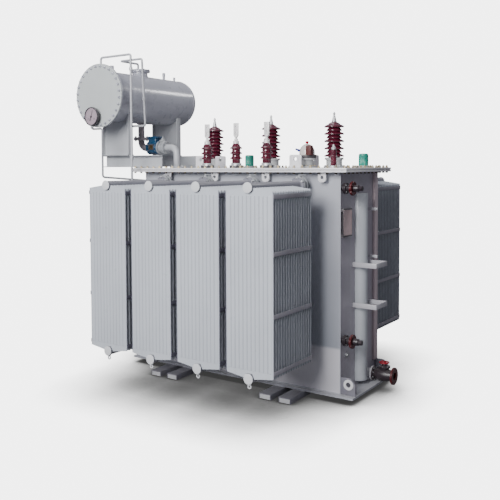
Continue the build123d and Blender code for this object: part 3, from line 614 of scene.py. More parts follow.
# Marks faces for painted shade: 1 on the seams between channels, 1.4 on the panels' edge strips.
bpy.ops.geometry.attribute_add(name="seam", domain="FACE", data_type="FLOAT")
choose(lambda face: sheet(face) and not in_channel(face.calc_center_median().x)
       and abs(face.calc_center_median().x) < panel_width / 2 - edge_seam)
bpy.ops.mesh.attribute_set(value_float=1.0)
choose(lambda face: abs(face.normal.y) > 0.9
       and abs(face.calc_center_median().x) > panel_width / 2 - shaded_edge)
bpy.ops.mesh.attribute_set(value_float=1.4)
choose(lambda face: sheet(face) and in_channel(face.calc_center_median().x))
first_rise = 0.0032
bpy.ops.mesh.inset(thickness=0.0035, depth=first_rise)
choose(lambda edge: abs(abs(edge.verts[0].co.y) - abs(edge.verts[1].co.y)) > first_rise / 2
       and on_notch(edge), "EDGE")
bpy.ops.mesh.dissolve_edges(use_verts=True)
choose(lambda face: sheet(face) and abs(face.calc_center_median().y) > seam_depth / 2 + first_rise * 0.9)
bpy.ops.mesh.inset(thickness=0.008, depth=(panel_depth - seam_depth) / 2 - first_rise)
bpy.ops.object.mode_set(mode="OBJECT")
soften(panel, 0, angle=32)
stack = panel.modifiers.new("stack", "ARRAY")
stack.count = panel_count
stack.use_relative_offset = False
stack.use_constant_offset = True
stack.constant_offset_displace = (0, panel_pitch, 0)
bpy.ops.object.modifier_apply(modifier=stack.name)
for bank in ("front", "back"):
    for number in range(1, 5):
        node = f"{bank}_radiator_{number}"
        low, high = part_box(node)
        place = Vector(((low.x + high.x) / 2, low.y + panel_depth / 2, (low.z + high.z) / 2))
        radiator = copied("pressed_" + node, panel, Matrix.Translation(place))
        belongs(radiator, radiator_enamel, "radiator_grey", node)
bpy.data.objects.remove(panel)
# A darker copy of the radiator paint on the straps, painted shade, darker still inside the row.
strap_painted_shade = enamelled("strap_painted_shade", (0.29, 0.28, 0.32), dust=0.2, grime=0.3)
straps = strap_painted_shade.node_tree
soiled(strap_painted_shade, sum_of(straps, "MULTIPLY", between_radiators(straps), 0.85), (0.05, 0.05, 0.075))
eased("radiator_straps", strap_painted_shade, "radiator_grey", 0.002)

# Header pipes
# Steel pipes run through the notches of every stack at top and bottom, each with a welded flange
# at the tank side and a shallow domed cap in front of the panels; the lower ones have an eyed drain plug.


def lathe(name, profile, foot=(0, 0, 0), axis=(0, 0, 1), steps=48):
    """Draws a half profile of (radius, distance along the axis) corners and spins it round the axis."""
    axis = Vector(axis).normalized()
    outward = Vector((0, 0, 1)) if abs(axis.z) < 0.5 else Vector((1, 0, 0))
    piece = drawn(name, [Vector(foot) + outward * radius + axis * along for radius, along in profile])
    bpy.ops.mesh.select_all(action="SELECT")
    bpy.ops.mesh.spin(steps=steps, angle=tau, center=foot, axis=axis)
    bpy.ops.mesh.select_all(action="SELECT")
    bpy.ops.mesh.remove_doubles(threshold=1e-5)
    bpy.ops.mesh.normals_make_consistent(inside=False)
    return soften(piece, 0, angle=32)


def lip(radius, low, high, edge=0.002):
    """The outer corners of a turned flange, broken."""
    return [(radius - edge, low), (radius, low + edge), (radius, high - edge), (radius - edge, high)]


def flats(*steps, edge=0.002):
    """A turned outline of cylinders end to end, each (radius, length), with its outer corners broken."""
    outline = [(0, 0)]
    reach = 0
    for radius, length in steps:
        outline += lip(radius, reach, reach + length, edge)
        reach += length
    return outline + [(0, reach)]


headers_low, headers_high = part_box("radiator_headers")
valves_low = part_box("radiator_valves")[0]
header_reach = valves_low.y - headers_low.y
header_radius = 0.0445
header_outline = [(0, 0), *lip(0.080, 0, 0.016), (0.050, 0.016), (0.047, 0.019),
                  (header_radius, 0.023), (header_radius, header_reach - 0.013), (0, header_reach - 0.013)]
cap_outline = [(header_radius - 0.001, -0.016), (0.046, -0.014), (0.046, -0.012), (0.049, -0.012),
               (0.050, -0.010), (0.050, -0.006), (0.048, -0.0035), (0.036, -0.0012), (0, 0)]
radiator_middles = [sum(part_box(f"front_radiator_{number}")[end].x for end in (0, 1)) / 2
                    for number in range(1, 5)]
header_levels = (headers_low.z + 0.050, headers_high.z - 0.050)


def at_headers(distance):
    """Every header's place at a distance from the tank's centre plane, turned to face outwards."""
    places = []
    for x in radiator_middles:
        for z in header_levels:
            places.append(Matrix.Translation((x, -distance, z)))
            places.append(Matrix.Translation((x, distance, z)) @ Matrix.Rotation(pi, 4, "Z"))
    return places


header = lathe("header", header_outline, axis=(0, -1, 0), steps=32)
# A darker copy of the radiator paint on the header pipes: painted shade under the rim and cover.
header_painted_shade = enamelled("header_painted_shade", (0.21, 0.21, 0.245), dust=0.15, grime=0.2)
belongs(repeated("header_pipes", header, at_headers(-valves_low.y)), header_painted_shade, "radiator_grey",
        "radiator_headers")
header_cap = lathe("header_cap", cap_outline, axis=(0, -1, 0), steps=32)
cap_enamel = enamelled("cap_enamel", (0.66, 0.67, 0.69), dust=0.2, grime=0.1)
belongs(repeated("header_caps", header_cap, at_headers(-headers_low.y)), cap_enamel, "radiator_grey")

plug_places = []
for x in radiator_middles:
    for y in (headers_low.y + 0.030, headers_high.y - 0.030):
        plug_places.append(Matrix.Translation((x, y, header_levels[0] - header_radius))
                           @ Matrix.Rotation(pi, 4, "X"))
plug_boss = lathe("boss", [(0, -0.006), (0.019, -0.006), (0.018, 0.004), (0.015, 0.007), (0.015, 0.012),
                           (0, 0.012)], steps=20)
plug_eye = lathe("eye", [(0.011, -0.005), (0.019, -0.005), (0.021, -0.003), (0.021, 0.003), (0.019, 0.005),
                         (0.011, 0.005), (0.011, -0.005)], foot=(0, 0, 0.030), axis=(0, 1, 0), steps=20)
belongs(repeated("header_plugs", joined("plug", [plug_boss, plug_eye]), plug_places), cap_enamel,
        "radiator_grey")

# Tow lug rings
# A turned ring is welded round the bore of each hauling lug, on its outer face, to take the wear
# of the shackle. It has the light enamel of the rim.
lugs_low, lugs_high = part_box("tow_lugs")
bore_reach, bore_height, bore_radius = 0.075, 0.107, 0.025
ring_places = []
for x in (lugs_low.x + bore_reach, lugs_high.x - bore_reach):
    ring_places += [Matrix.Translation((x, lugs_low.y, lugs_low.z + bore_height)),
                    Matrix.Translation((x, lugs_high.y, lugs_low.z + bore_height))
                    @ Matrix.Rotation(pi, 4, "Z")]
lug_ring = lathe("lug_ring", [(bore_radius, 0), (0.053, 0), (0.053, 0.004), (0.051, 0.006),
                              (bore_radius + 0.003, 0.006), (bore_radius, 0.003), (bore_radius, 0)],
                 axis=(0, -1, 0), steps=32)
belongs(repeated("tow_lug_rings", lug_ring, ring_places), rim_enamel, "tank_grey")

# Radiator valves
# Cast butterfly valves sit between the tank's stubs and the headers. Their flanges are held by
# six long studs, and a short lever on top turns the disc.
cast_grey = enamelled("cast_grey", (0.36, 0.375, 0.395), unevenness=0.1, dust=0.3, grime=0.3, roughness=0.45,
                      peel_depth=0.0015)
valve_reach = 0.160
valve = lathe("valve", [(0, 0), (0.052, 0), (0.048, 0.004), (header_radius, 0.008), (header_radius, 0.086),
                        (0.050, 0.090), *lip(0.085, 0.090, 0.108), (0.070, 0.109), (0.066, 0.113),
                        (0.066, 0.137), (0.070, 0.141), *lip(0.085, 0.142, valve_reach), (0, valve_reach)],
              axis=(0, -1, 0), steps=32)
boss = lathe("boss", flats((0.020, 0.030), (0.011, 0.014)), foot=(0, -0.125, 0.060), steps=16)
lever = soften(block("lever", (0.034, -0.125, 0.101), (0.088, 0.016, 0.006)), 0.002)
belongs(repeated("valve_bodies", joined("valve", [valve, boss, lever]),
                 at_headers(-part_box("tank_front_wall")[0].y)), cast_grey, "cast_dark", "radiator_valves")


def round_flange(centre, axis, radius, count, phase=0.5):
    """Places round a flange for bolts whose Z axis points along the flange's axis."""
    axis = Vector(axis).normalized()
    turn = axis.to_track_quat("Z", "Y").to_matrix().to_4x4()
    angles = [tau * (step + phase) / count for step in range(count)]
    spots = [Matrix.Translation((radius * cos(angle), radius * sin(angle), 0)) for angle in angles]
    return [Matrix.Translation(centre) @ turn @ spot for spot in spots]


stud_rows = [place @ spot for place in at_headers(valve_reach + 0.016 - wall_low.y)
             for spot in round_flange((0, 0, 0), (0, -1, 0), 0.072, 6)]
shank = drum("shank", 0.006, 0.086, (0, 0, -0.043), corners=8)
stud = joined("stud", [clamp_bolt(0.012, 0.086), shank])
belongs(repeated("valve_studs", stud, stud_rows), grey_zinc, "terminal_metal")

# High-voltage bushings
# Each stands on a cast turret bolted to the cover: a glazed porcelain with long and short sheds
# under a conical roof, and a slender cast terminal cemented on top.


def glazed(name, colour, depth_colour):
    """Fired glaze: deep, glossy, a little thicker and darker in patches, with a faint ripple."""
    material, tree, shader = new_material(name)
    where = own_place(tree)
    pooled = span(tree, noise(tree, where, 18.0, 3), 0.35, 0.7, 0, 1)
    ripple = noise(tree, where, 45.0, 2)
    relief = feed(tree, add(tree, "ShaderNodeBump"), Strength=0.12, Distance=0.002, Height=ripple)
    feed(tree, shader, Base_Color=blended(tree, pooled, (*colour, 1), (*depth_colour, 1)),
         Roughness=span(tree, noise(tree, where, 60.0, 2), 0.3, 0.7, 0.10, 0.2),
         Normal=relief.outputs["Normal"], Coat_Weight=0.6, Coat_Roughness=0.16, Specular_IOR_Level=0.6)
    return material


wine_glaze = glazed("wine_glaze", (0.105, 0.008, 0.024), (0.050, 0.004, 0.014))
cast_alloy = plated("cast_alloy", (0.68, 0.69, 0.70), (0.50, 0.51, 0.52), 0.42, relief_depth=0.0008,
                    metallic=0.6)
turret_enamel = enamelled("turret_enamel", (0.44, 0.45, 0.455), dust=0.3, roughness=0.4)


def shedded(body, rims, first, pitch, rise, height, top):
    """Outline of a porcelain with conical sheds that have round rims, and a roof that narrows to the top."""
    thick = 0.014
    outline = [(0, 0), (body, 0)]
    for index, rim in enumerate(rims):
        level = first + index * pitch
        reach = rim - body
        half_way = level + thick + 0.52 * (rise - thick)
        outline += [(body, level - 0.001), (body + 0.08 * reach, level + 0.0035),
                    (body + 0.5 * reach, level + 0.003), (rim - 0.006, level + 0.0005),
                    (rim - 0.002, level), (rim, level + 0.0025), (rim, level + thick - 0.0025),
                    (rim - 0.0025, level + thick), (body + 0.5 * reach, half_way),
                    (body + 0.12 * reach, level + 0.88 * rise), (body, level + rise + 0.002)]
    eaves = first + (len(rims) - 1) * pitch + rise + 0.004
    outline += [(body + share * (top - body), eaves + (height - eaves) * share ** 0.8)
                for share in (0.2, 0.4, 0.6, 0.8)]
    return outline + [(top, height), (0, height)]


def three_places(low, high, reach):
    """The three places on the cover of a row of bushings whose widest sheds reach this far."""
    pitch = (high.x - low.x) / 2 - reach
    return [Matrix.Translation((low.x + reach + step * pitch, (low.y + high.y) / 2, cover_top))
            for step in range(3)]


hv_low, hv_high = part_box("hv_bushings")
hv_places = three_places(hv_low, hv_high, 0.107)
turret_height = hv_low.z - cover_top
turret = lathe("turret", [(0, 0), *lip(0.110, 0, 0.016), (0.095, 0.016),
                          (0.090, 0.020), (0.088, 0.026), (0.088, turret_height - 0.030),
                          (0.092, turret_height - 0.022), (0.102, turret_height - 0.022),
                          (0.104, turret_height - 0.020), (0.104, turret_height - 0.004),
                          (0.100, turret_height), (0, turret_height)])
belongs(repeated("bushing_turrets", turret, hv_places), turret_enamel, "terminal_metal", "hv_turrets")
hv_rims = [0.084 if index % 2 else 0.109 for index in range(9)]
hv_height = hv_high.z - hv_low.z
tip_radius = 0.027
porcelain = lathe("porcelain", shedded(0.066, hv_rims, 0.012, 0.0405, 0.034, hv_height, tip_radius),
                  foot=(0, 0, turret_height), steps=56)
belongs(repeated("tall_porcelains", porcelain, hv_places), wine_glaze, "porcelain_red", "hv_bushings")
cap_foot = turret_height + hv_height
cap = lathe("cap", [(0, 0), (tip_radius - 0.001, 0), (tip_radius, 0.001), (tip_radius, 0.008), (0.024, 0.011),
                    (0.0235, 0.020), (0.0185, 0.042), (0.0140, 0.062), (0.0105, 0.080), (0.0080, 0.090),
                    (0.0080, 0.106), (0.0055, 0.110), (0, 0.110)], foot=(0, 0, cap_foot), steps=32)
nut = hexagon("nut", 0.028, 0.010, cap_foot + 0.086, 1)
washer = drum("washer", 0.0150, 0.003, (0, 0, cap_foot + 0.0845), corners=20)
soften(washer, 0.0006)
belongs(repeated("tall_terminals", joined("cap", [cap, nut, washer]), hv_places), cast_alloy,
        "terminal_metal", "hv_terminals")


def flange_bolts(name, size, circles):
    """Short hexagon-headed bolts on several flanges, each given as centre, axis, radius, count."""
    places = [spot for circle in circles for spot in round_flange(*circle)]
    washer = drum("washer", size, size * 0.16, (0, 0, size * 0.08), corners=14)
    head = hexagon("head", size * 1.75, size * 0.7, size * 0.16, 1)
    return repeated(name, soften(joined("bolt", [washer, head]), 0, angle=30), places)


turret_circles = [(place.translation + Vector((0, 0, 0.016)), (0, 0, 1), 0.099, 8) for place in hv_places]
belongs(flange_bolts("turret_bolts", 0.012, turret_circles), grey_zinc, "terminal_metal")

# Low-voltage bushings
# Three short porcelains with three sheds on cast feet with pale collars; the stud on top carries
# two nuts and a flat bored flag.
lv_low, lv_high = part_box("lv_bushings")
lv_places = three_places(lv_low, lv_high, 0.0645)
foot_height = lv_low.z - cover_top
lv_height = lv_high.z - lv_low.z
cast_black = enamelled("cast_black", (0.055, 0.05, 0.055), unevenness=0.15, dust=0.25, grime=0.2,
                       roughness=0.45, peel_depth=0.0015)
lv_foot = lathe("foot", [(0, 0), (0.074, 0), (0.076, 0.002), (0.076, 0.019), (0.073, 0.022), (0, 0.022)])
belongs(repeated("short_feet", lv_foot, lv_places), cast_black, "cast_dark", "lv_flanges")
collar = lathe("collar", [(0.050, 0.020), (0.064, 0.020), (0.059, 0.026), (0.058, 0.030),
                          (0.058, foot_height - 0.004), (0.055, foot_height), (0.046, foot_height)])
belongs(repeated("short_collars", collar, lv_places), cast_alloy, "terminal_metal")
short = lathe("short", shedded(0.047, [0.0665] * 3, 0.045, 0.057, 0.026, lv_height, 0.034),
              foot=(0, 0, foot_height), steps=40)
belongs(repeated("short_porcelains", short, lv_places), wine_glaze, "porcelain_red", "lv_bushings")
stud_foot = foot_height + lv_height
flag_bottom = 2.700 - cover_top
flag_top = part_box("lv_terminals")[1].z - cover_top
flag_middle = (flag_bottom + flag_top) / 2
post = lathe("post", [(0, 0), (0.034, 0), (0.034, 0.028), (0.030, 0.034), (0.013, 0.034), (0.013, 0.088),
                      (0, 0.088)], foot=(0, 0, stud_foot), steps=28)


def drilled(piece, radius, centre, axis, corners=20):
    """Drills a hole through a piece."""
    drill = drum("drill", radius, 0.05, centre, axis, corners)
    solo(piece)
    cut = piece.modifiers.new("hole", "BOOLEAN")
    cut.object = drill
    cut.solver = "EXACT"
    bpy.ops.object.modifier_apply(modifier=cut.name)
    bpy.data.objects.remove(drill)


flag = block("flag", (0, 0, flag_middle - 0.002), (0.064, 0.014, flag_top - flag_bottom + 0.004))
soften(flag, 0.0025)
for level in (-0.030, 0.030):
    drilled(flag, 0.007, (0, 0, flag_middle + level), "Y")
nut_low = hexagon("nut", 0.042, 0.018, stud_foot + 0.036, 1)
nut_high = hexagon("nut", 0.042, 0.016, flag_bottom - 0.018, 1)
copper_flag = plated("tinned_copper", (0.92, 0.91, 0.91), (0.84, 0.82, 0.81), 0.35, metallic=0.2)
belongs(repeated("short_terminals", joined("terminal", [post, flag, nut_low, nut_high]), lv_places),
        copper_flag, "terminal_metal", "lv_terminals")
lv_circles = [((place.translation.x, place.translation.y, cover_top + 0.022), (0, 0, 1), 0.067, 4)
              for place in lv_places]
belongs(flange_bolts("short_foot_bolts", 0.010, lv_circles), cast_black, "cast_dark")

# Neutral bushing
# A slim porcelain with two small sheds near the drain end, on a small cast foot and with a nut on
# its stud.
neutral_low, neutral_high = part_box("neutral_bushing")
neutral_spot = Vector(((neutral_low.x + neutral_high.x) / 2, (neutral_low.y + neutral_high.y) / 2, cover_top))
neutral = lathe("neutral_porcelain", [(0, 0.020), (0.036, 0.020), (0.036, 0.028), (0.030, 0.034),
                                      (0.030, 0.060), (0.038, 0.064), (0.040, 0.067), (0.038, 0.071),
                                      (0.030, 0.078), (0.030, 0.108), (0.038, 0.112), (0.040, 0.115),
                                      (0.038, 0.119), (0.030, 0.126), (0.030, 0.184), (0.026, 0.188),
                                      (0, 0.188)], foot=neutral_spot, steps=32)
belongs(neutral, wine_glaze, "porcelain_red", "neutral_bushing")
neutral_parts = [lathe("part", flats((0.048, 0.022)), foot=neutral_spot, steps=28),
                 lathe("part", [(0, 0.184), (0.022, 0.184), (0.022, 0.206), (0.018, 0.212), (0.009, 0.212),
                                (0.009, 0.2395), (0, 0.2395)], foot=neutral_spot, steps=24)]
neutral_nut = hexagon("nut", 0.030, 0.012, 0.212, 1)
neutral_nut.data.transform(Matrix.Translation(neutral_spot))
belongs(joined("neutral_metal", neutral_parts + [neutral_nut]), cast_alloy, "terminal_metal")

# Pressure relief valve
# A spun dome over the spring, clamped by a dark ring on a flanged riser, with a red signal pin on
# its top, a moulded switch box at its side and a blue cable gland. The dome is stoved a pale cream.
riser_low, riser_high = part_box("relief_riser")
relief_spot = Vector(((riser_low.x + riser_high.x) / 2, (riser_low.y + riser_high.y) / 2, cover_top))
riser_height = riser_high.z - cover_top
relief_foot = relief_spot + Vector((0, 0, riser_height))
riser = lathe("relief_riser_neck", [(0, 0), *lip(0.096, 0, 0.018), (0.074, 0.018), (0.068, 0.024),
                                    (0.068, riser_height - 0.024), (0.074, riser_height - 0.018),
                                    *lip(0.096, riser_height - 0.018, riser_height), (0, riser_height)],
              foot=relief_spot)
belongs(riser, turret_enamel, "terminal_metal", "relief_riser")
dome_paint = enamelled("dome_cream", (0.60, 0.57, 0.54), unevenness=0.05, dust=0.3, grime=0.1, roughness=0.3)
relief_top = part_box("relief_valve")[1].z - cover_top - riser_height
dome = lathe("relief_dome", [(0, 0.028), (0.084, 0.028), (0.084, 0.066), (0.082, 0.082), (0.076, 0.100),
                             (0.066, 0.118), (0.052, 0.134), (0.036, 0.146), (0.022, 0.152), (0, 0.155)],
             foot=relief_foot)
belongs(dome, dome_paint, "relief_pale", "relief_valve")
ring = lathe("relief_ring", [(0.080, 0), (0.098, 0), (0.100, 0.002), (0.100, 0.026), (0.097, 0.030),
                             (0.084, 0.034), (0.080, 0.034)], foot=relief_foot)
belongs(ring, cast_black, "cast_dark")
signal_red = enamelled("signal_red", (0.32, 0.005, 0.018), unevenness=0.08, dust=0.05, grime=0.1,
                       roughness=0.35)
pin = lathe("relief_pin", [(0, 0.148), (0.018, 0.148), (0.018, 0.153), (0.010, 0.155),
                           (0.010, relief_top - 0.025), (0.015, relief_top - 0.023),
                           (0.018, relief_top - 0.016), (0.018, relief_top - 0.008),
                           (0.013, relief_top - 0.002), (0.006, relief_top), (0, relief_top)],
            foot=relief_foot, steps=24)
belongs(pin, signal_red, "valve_red")
switch_spot = relief_spot + Vector((0.062, -0.058, riser_height + 0.030))
switch = block("relief_switch", switch_spot + Vector((0, 0, 0.050)), (0.062, 0.054, 0.100))
pressed(switch, lambda face: face.normal.y < -0.9, (0.005, 0.004))
pressed(switch, lambda face: face.normal.z > 0.9, (0.014, 0.010))
soften(switch, 0.003)
maroon_plastic = enamelled("maroon_plastic", (0.085, 0.022, 0.020), unevenness=0.1, dust=0.2, grime=0.1,
                           roughness=0.4, coat=0.1)
belongs(switch, maroon_plastic, "valve_red")
blue_plastic = enamelled("blue_plastic", (0.05, 0.06, 0.28), unevenness=0.05, dust=0.1, grime=0.05,
                         roughness=0.35)
gland = lathe("relief_gland", flats((0.015, 0.018), (0.011, 0.030), edge=0.0015),
              foot=relief_spot + Vector((-0.055, -0.062, riser_height + 0.080)), axis=(-0.6, -0.7, 0.35),
              steps=20)
belongs(gland, blue_plastic, "relay_blue")
relief_circles = [(relief_spot + Vector((0, 0, 0.018)), (0, 0, 1), 0.085, 8),
                  (relief_foot + Vector((0, 0, 0.030)), (0, 0, 1), 0.091, 8)]
belongs(flange_bolts("relief_bolts", 0.010, relief_circles), gold_zinc, "terminal_metal")

# Thermometer pockets
# Moulded green plastic caps with a knurled grip cover the two oil pockets; each sits on a small
# steel flange on the cover.
green_cap = enamelled("green_plastic", (0.016, 0.265, 0.195), unevenness=0.05, dust=0.06, grime=0.05,
                      roughness=0.3, coat=0.4)
pockets_low, pockets_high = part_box("thermometer_pockets")
pocket_spots = [Vector((pockets_low.x + 0.062, pockets_high.y - 0.062, cover_top)),
                Vector((pockets_high.x - 0.062, pockets_low.y + 0.062, cover_top))]
pocket_top = pockets_high.z - cover_top
pocket = lathe("pocket", [(0, 0.020), (0.052, 0.020), (0.052, pocket_top - 0.022),
                          (0.050, pocket_top - 0.010), (0.044, pocket_top - 0.003), (0.034, pocket_top),
                          (0.030, pocket_top - 0.003), (0, pocket_top - 0.003)], steps=48)


def every_other(face):
    """Picks the side faces of the cap in turn, for the ridges of its grip."""
    middle = face.calc_center_median()
    angle = (Vector((middle.x, middle.y)).angle_signed(Vector((1, 0)), 0) + pi) / tau * 48
    return abs(face.normal.z) < 0.1 and int(round(angle - 0.5)) % 2 == 0


pressed(pocket, every_other, (0.0008, -0.0022), each=True)
pocket_places = [Matrix.Translation(spot) for spot in pocket_spots]
belongs(repeated("pocket_caps", pocket, pocket_places), green_cap, "cap_green", "thermometer_pockets")
pocket_flange = lathe("pocket_flange", flats((0.062, 0.020)), steps=40)
belongs(repeated("pocket_flanges", pocket_flange, pocket_places), turret_enamel, "terminal_metal")

# Conservator vessel
# A rolled and welded drum with a dished back end. The front end is a flat blank bolted to a
# flange ring over a thin gasket, so that the drum can be cleaned.
vessel_enamel = enamelled("vessel_enamel", (0.45, 0.46, 0.52), unevenness=0.05, dust=0.1, grime=0.1,
                          roughness=0.3, coat=0.8, coat_roughness=0.12)
shell_low, shell_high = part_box("conservator_shell")
shell_x = (shell_low.x + shell_high.x) / 2
shell_z = (shell_low.z + shell_high.z) / 2
shell_radius = (shell_high.x - shell_low.x) / 2
shell_length = shell_high.y - shell_low.y
front = Vector((shell_x, shell_low.y, shell_z))
bead_rise = 0.0035
seams = [0.020, shell_length - 0.004]
drum_outline = [(0, 0.002), (shell_radius, 0.002)]
for seam in seams:
    drum_outline += [(shell_radius, seam - 0.008), (shell_radius + bead_rise, seam - 0.003),
                     (shell_radius + bead_rise, seam + 0.001), (shell_radius, seam + 0.004)]
drum_outline[-1] = (shell_radius, shell_length)
belongs(lathe("vessel_drum", drum_outline + [(0, shell_length)], foot=front, axis=(0, 1, 0), steps=96),
        vessel_enamel, "conservator_grey", "conservator_shell")
dish_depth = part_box("conservator_dished_end")[1].y - shell_high.y
dish_outline = [(shell_radius, -0.004), (shell_radius, 0.002)]
dish_outline += [(shell_radius * cos(step * pi / 24) ** 0.8, dish_depth * sin(step * pi / 24))
                 for step in range(1, 12)]
dish = lathe("vessel_dish", dish_outline + [(0, dish_depth)], foot=(shell_x, shell_high.y, shell_z),
             axis=(0, 1, 0), steps=96)
belongs(dish, vessel_enamel, "conservator_grey", "conservator_dished_end")
ring_low, ring_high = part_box("conservator_flange")
ring_radius = (ring_high.x - ring_low.x) / 2
ring_depth = ring_high.y - ring_low.y
flange_ring = lathe("vessel_flange", [(shell_radius - 0.01, 0), *lip(ring_radius, 0, ring_depth),
                                      (shell_radius + 0.010, ring_depth),
                                      (shell_radius - 0.002, ring_depth + 0.010),
                                      (shell_radius - 0.01, ring_depth + 0.010)], foot=front,
                    axis=(0, 1, 0), steps=96)
belongs(flange_ring, vessel_enamel, "conservator_grey", "conservator_flange")
cover_enamel = enamelled("end_cover_enamel", (0.53, 0.56, 0.56), unevenness=0.04, dust=0.2, grime=0.1,
                         roughness=0.35)
blank_depth = shell_low.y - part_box("conservator_end_cover")[0].y
blank = lathe("vessel_blank", [(0, 0.002), (ring_radius - 0.004, 0.002), (ring_radius - 0.001, 0.003),
                               (ring_radius, 0.005), (ring_radius, blank_depth - 0.002),
                               (ring_radius - 0.002, blank_depth), (0, blank_depth)], foot=front,
              axis=(0, -1, 0), steps=96)
belongs(blank, cover_enamel, "conservator_grey", "conservator_end_cover")
packing = lathe("vessel_gasket", [(shell_radius, 0), (ring_radius - 0.006, 0), (ring_radius - 0.006, 0.003),
                                  (shell_radius, 0.003)], foot=front, axis=(0, -1, 0), steps=64)
belongs(packing, gasket_rubber, "gasket_black")
blank_face = front + Vector((0, -blank_depth, 0))
blank_grip = blank_depth + ring_depth
blank_bolt = clamp_bolt(0.016, blank_grip)
belongs(repeated("vessel_bolts", blank_bolt, round_flange(blank_face, (0, -1, 0), ring_radius - 0.030, 28)),
        vessel_enamel, "conservator_grey")

# Level gauge
# A cast case on a short neck below the middle of the end cover, with a dark bezel, a pale dial
# behind it and a black pointer that follows the float inside the drum.
gauge_low, gauge_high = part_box("level_gauge")
gauge_spot = Vector(((gauge_low.x + gauge_high.x) / 2, gauge_high.y, (gauge_low.z + gauge_high.z) / 2))
gauge_reach = gauge_high.y - gauge_low.y
gauge_radius = (gauge_high.x - gauge_low.x) / 2
case_outline = [(0, 0), (0.064, 0), (0.064, 0.006), (0.058, 0.008), (0.058, 0.026), (0.066, 0.031),
                (gauge_radius - 0.010, 0.033), (gauge_radius - 0.002, 0.037), (gauge_radius, 0.043),
                (gauge_radius, gauge_reach - 0.008), (gauge_radius - 0.003, gauge_reach - 0.002),
                (gauge_radius - 0.008, gauge_reach), (gauge_radius - 0.013, gauge_reach - 0.001),
                (gauge_radius - 0.016, gauge_reach - 0.009), (0, gauge_reach - 0.009)]
gauge_black = enamelled("gauge_black", (0.045, 0.04, 0.048), unevenness=0.1, dust=0.2, grime=0.1,
                        roughness=0.35, coat=0.3)
belongs(lathe("gauge_case", case_outline, foot=gauge_spot, axis=(0, -1, 0), steps=64), gauge_black,
        "gauge_black", "level_gauge")
dial_white = enamelled("dial_white", (0.40, 0.32, 0.37), unevenness=0.04, dust=0.0, grime=0.0, roughness=0.25,
                       coat=0.5, peel_depth=0.0001)
dial_face = gauge_reach - 0.0075
dial = lathe("gauge_dial", [(0, dial_face - 0.002), (gauge_radius - 0.0155, dial_face - 0.002),
                            (gauge_radius - 0.0155, dial_face - 0.0005), (gauge_radius - 0.018, dial_face),
                            (0, dial_face)], foot=gauge_spot, axis=(0, -1, 0), steps=64)
belongs(dial, dial_white, "board_grey")
dial_front = gauge_spot + Vector((0, -dial_face, 0))
mark_parts = []
mark_count = 11
for step in range(mark_count):
    sweep = radians(-120 + step * 240 / (mark_count - 1))
    length = 0.016 if step % 5 == 0 else 0.010
    mark = block("mark", (0, -0.0006, 0.082 - length / 2), (0.0028, 0.0012, length))
    mark.data.transform(Matrix.Translation(dial_front) @ Matrix.Rotation(sweep, 4, "Y"))
    mark_parts.append(mark)
    if step % 5 == 0:
        bpy.ops.object.text_add(rotation=(pi / 2, 0, 0))
        figure = bpy.context.object
        figure.data.body = str(step)
        figure.data.size = 0.020
        figure.data.align_x = "CENTER"
        figure.data.align_y = "CENTER"
        figure.data.extrude = 0.0004
        bpy.ops.object.convert(target="MESH")
        figure = bpy.context.object
        figure.location = dial_front + Vector((0.055 * sin(sweep), -0.0008, 0.055 * cos(sweep)))
        bpy.ops.object.transform_apply(location=True, rotation=True, scale=True)
        mark_parts.append(figure)
black_ink = enamelled("black_ink", (0.02, 0.02, 0.02), unevenness=0.1, dust=0.0, grime=0.0, roughness=0.5,
                      coat=0.0)
belongs(joined("gauge_marks", mark_parts), black_ink, "gauge_black")
pointer = drum("gauge_pointer", 0.006, 0.130, (0, -0.0045, 0.012), corners=4)
bpy.ops.object.mode_set(mode="EDIT")
choose(lambda vertex: vertex.co.z > 0.05, "VERT")
bpy.ops.transform.resize(value=(0.25, 0.5, 1), center_override=(0, -0.0045, 0.07))
choose(lambda vertex: True, "VERT")
bpy.ops.transform.resize(value=(1, 0.25, 1), center_override=(0, -0.0035, 0))
bpy.ops.object.mode_set(mode="OBJECT")
pointer_hub = lathe("hub", flats((0.012, 0.006), edge=0.0015), axis=(0, -1, 0), steps=20)
pointer = joined("gauge_pointer", [pointer, pointer_hub])
pointer.data.transform(Matrix.Translation(dial_front) @ Matrix.Rotation(radians(20), 4, "Y"))
belongs(pointer, black_ink, "gauge_black")

# Conservator fittings
# A necked manhole with a bolted lid and three capped sockets stand along the top of the drum.
# They are steel, welded to the shell and painted with it.
shell_top = shell_z + shell_radius
manhole_y = -0.045
neck_sunk = 0.03
manhole_spot = Vector((shell_x, manhole_y, shell_top - neck_sunk))
lid_top = 0.076 + neck_sunk
manhole = lathe("manhole", [(0, 0), (0.110, 0), (0.100, 0.030), (0.095, 0.038), (0.095, lid_top - 0.034),
                            (0.098, lid_top - 0.030), (0.125, lid_top - 0.030), (0.127, lid_top - 0.028),
                            (0.127, lid_top - 0.017), (0.124, lid_top - 0.016), (0.124, lid_top - 0.014),
                            (0.127, lid_top - 0.013), (0.127, lid_top - 0.002), (0.125, lid_top),
                            (0, lid_top)], foot=manhole_spot)
plugs = []
for y, radius, height in ((-0.535, 0.027, 0.076), (0.410, 0.020, 0.088), (0.620, 0.016, 0.050)):
    socket_foot = (shell_x, y, shell_top - 0.006)
    plugs.append(lathe("plug", [(0, 0), (radius + 0.006, 0), (radius + 0.002, 0.006),
                                (radius - 0.003, 0.010), (radius - 0.003, height * 0.55),
                                (radius, height * 0.55), (radius, height), (radius - 0.003, height + 0.006),
                                (0, height + 0.006)], foot=socket_foot, steps=20))
belongs(joined("drum_fittings", [manhole] + plugs), vessel_enamel, "conservator_grey", "conservator_fittings")
lid_circle = [(manhole_spot + Vector((0, 0, lid_top)), (0, 0, 1), 0.112, 8)]
belongs(flange_bolts("manhole_bolts", 0.010, lid_circle), grey_zinc, "terminal_metal")

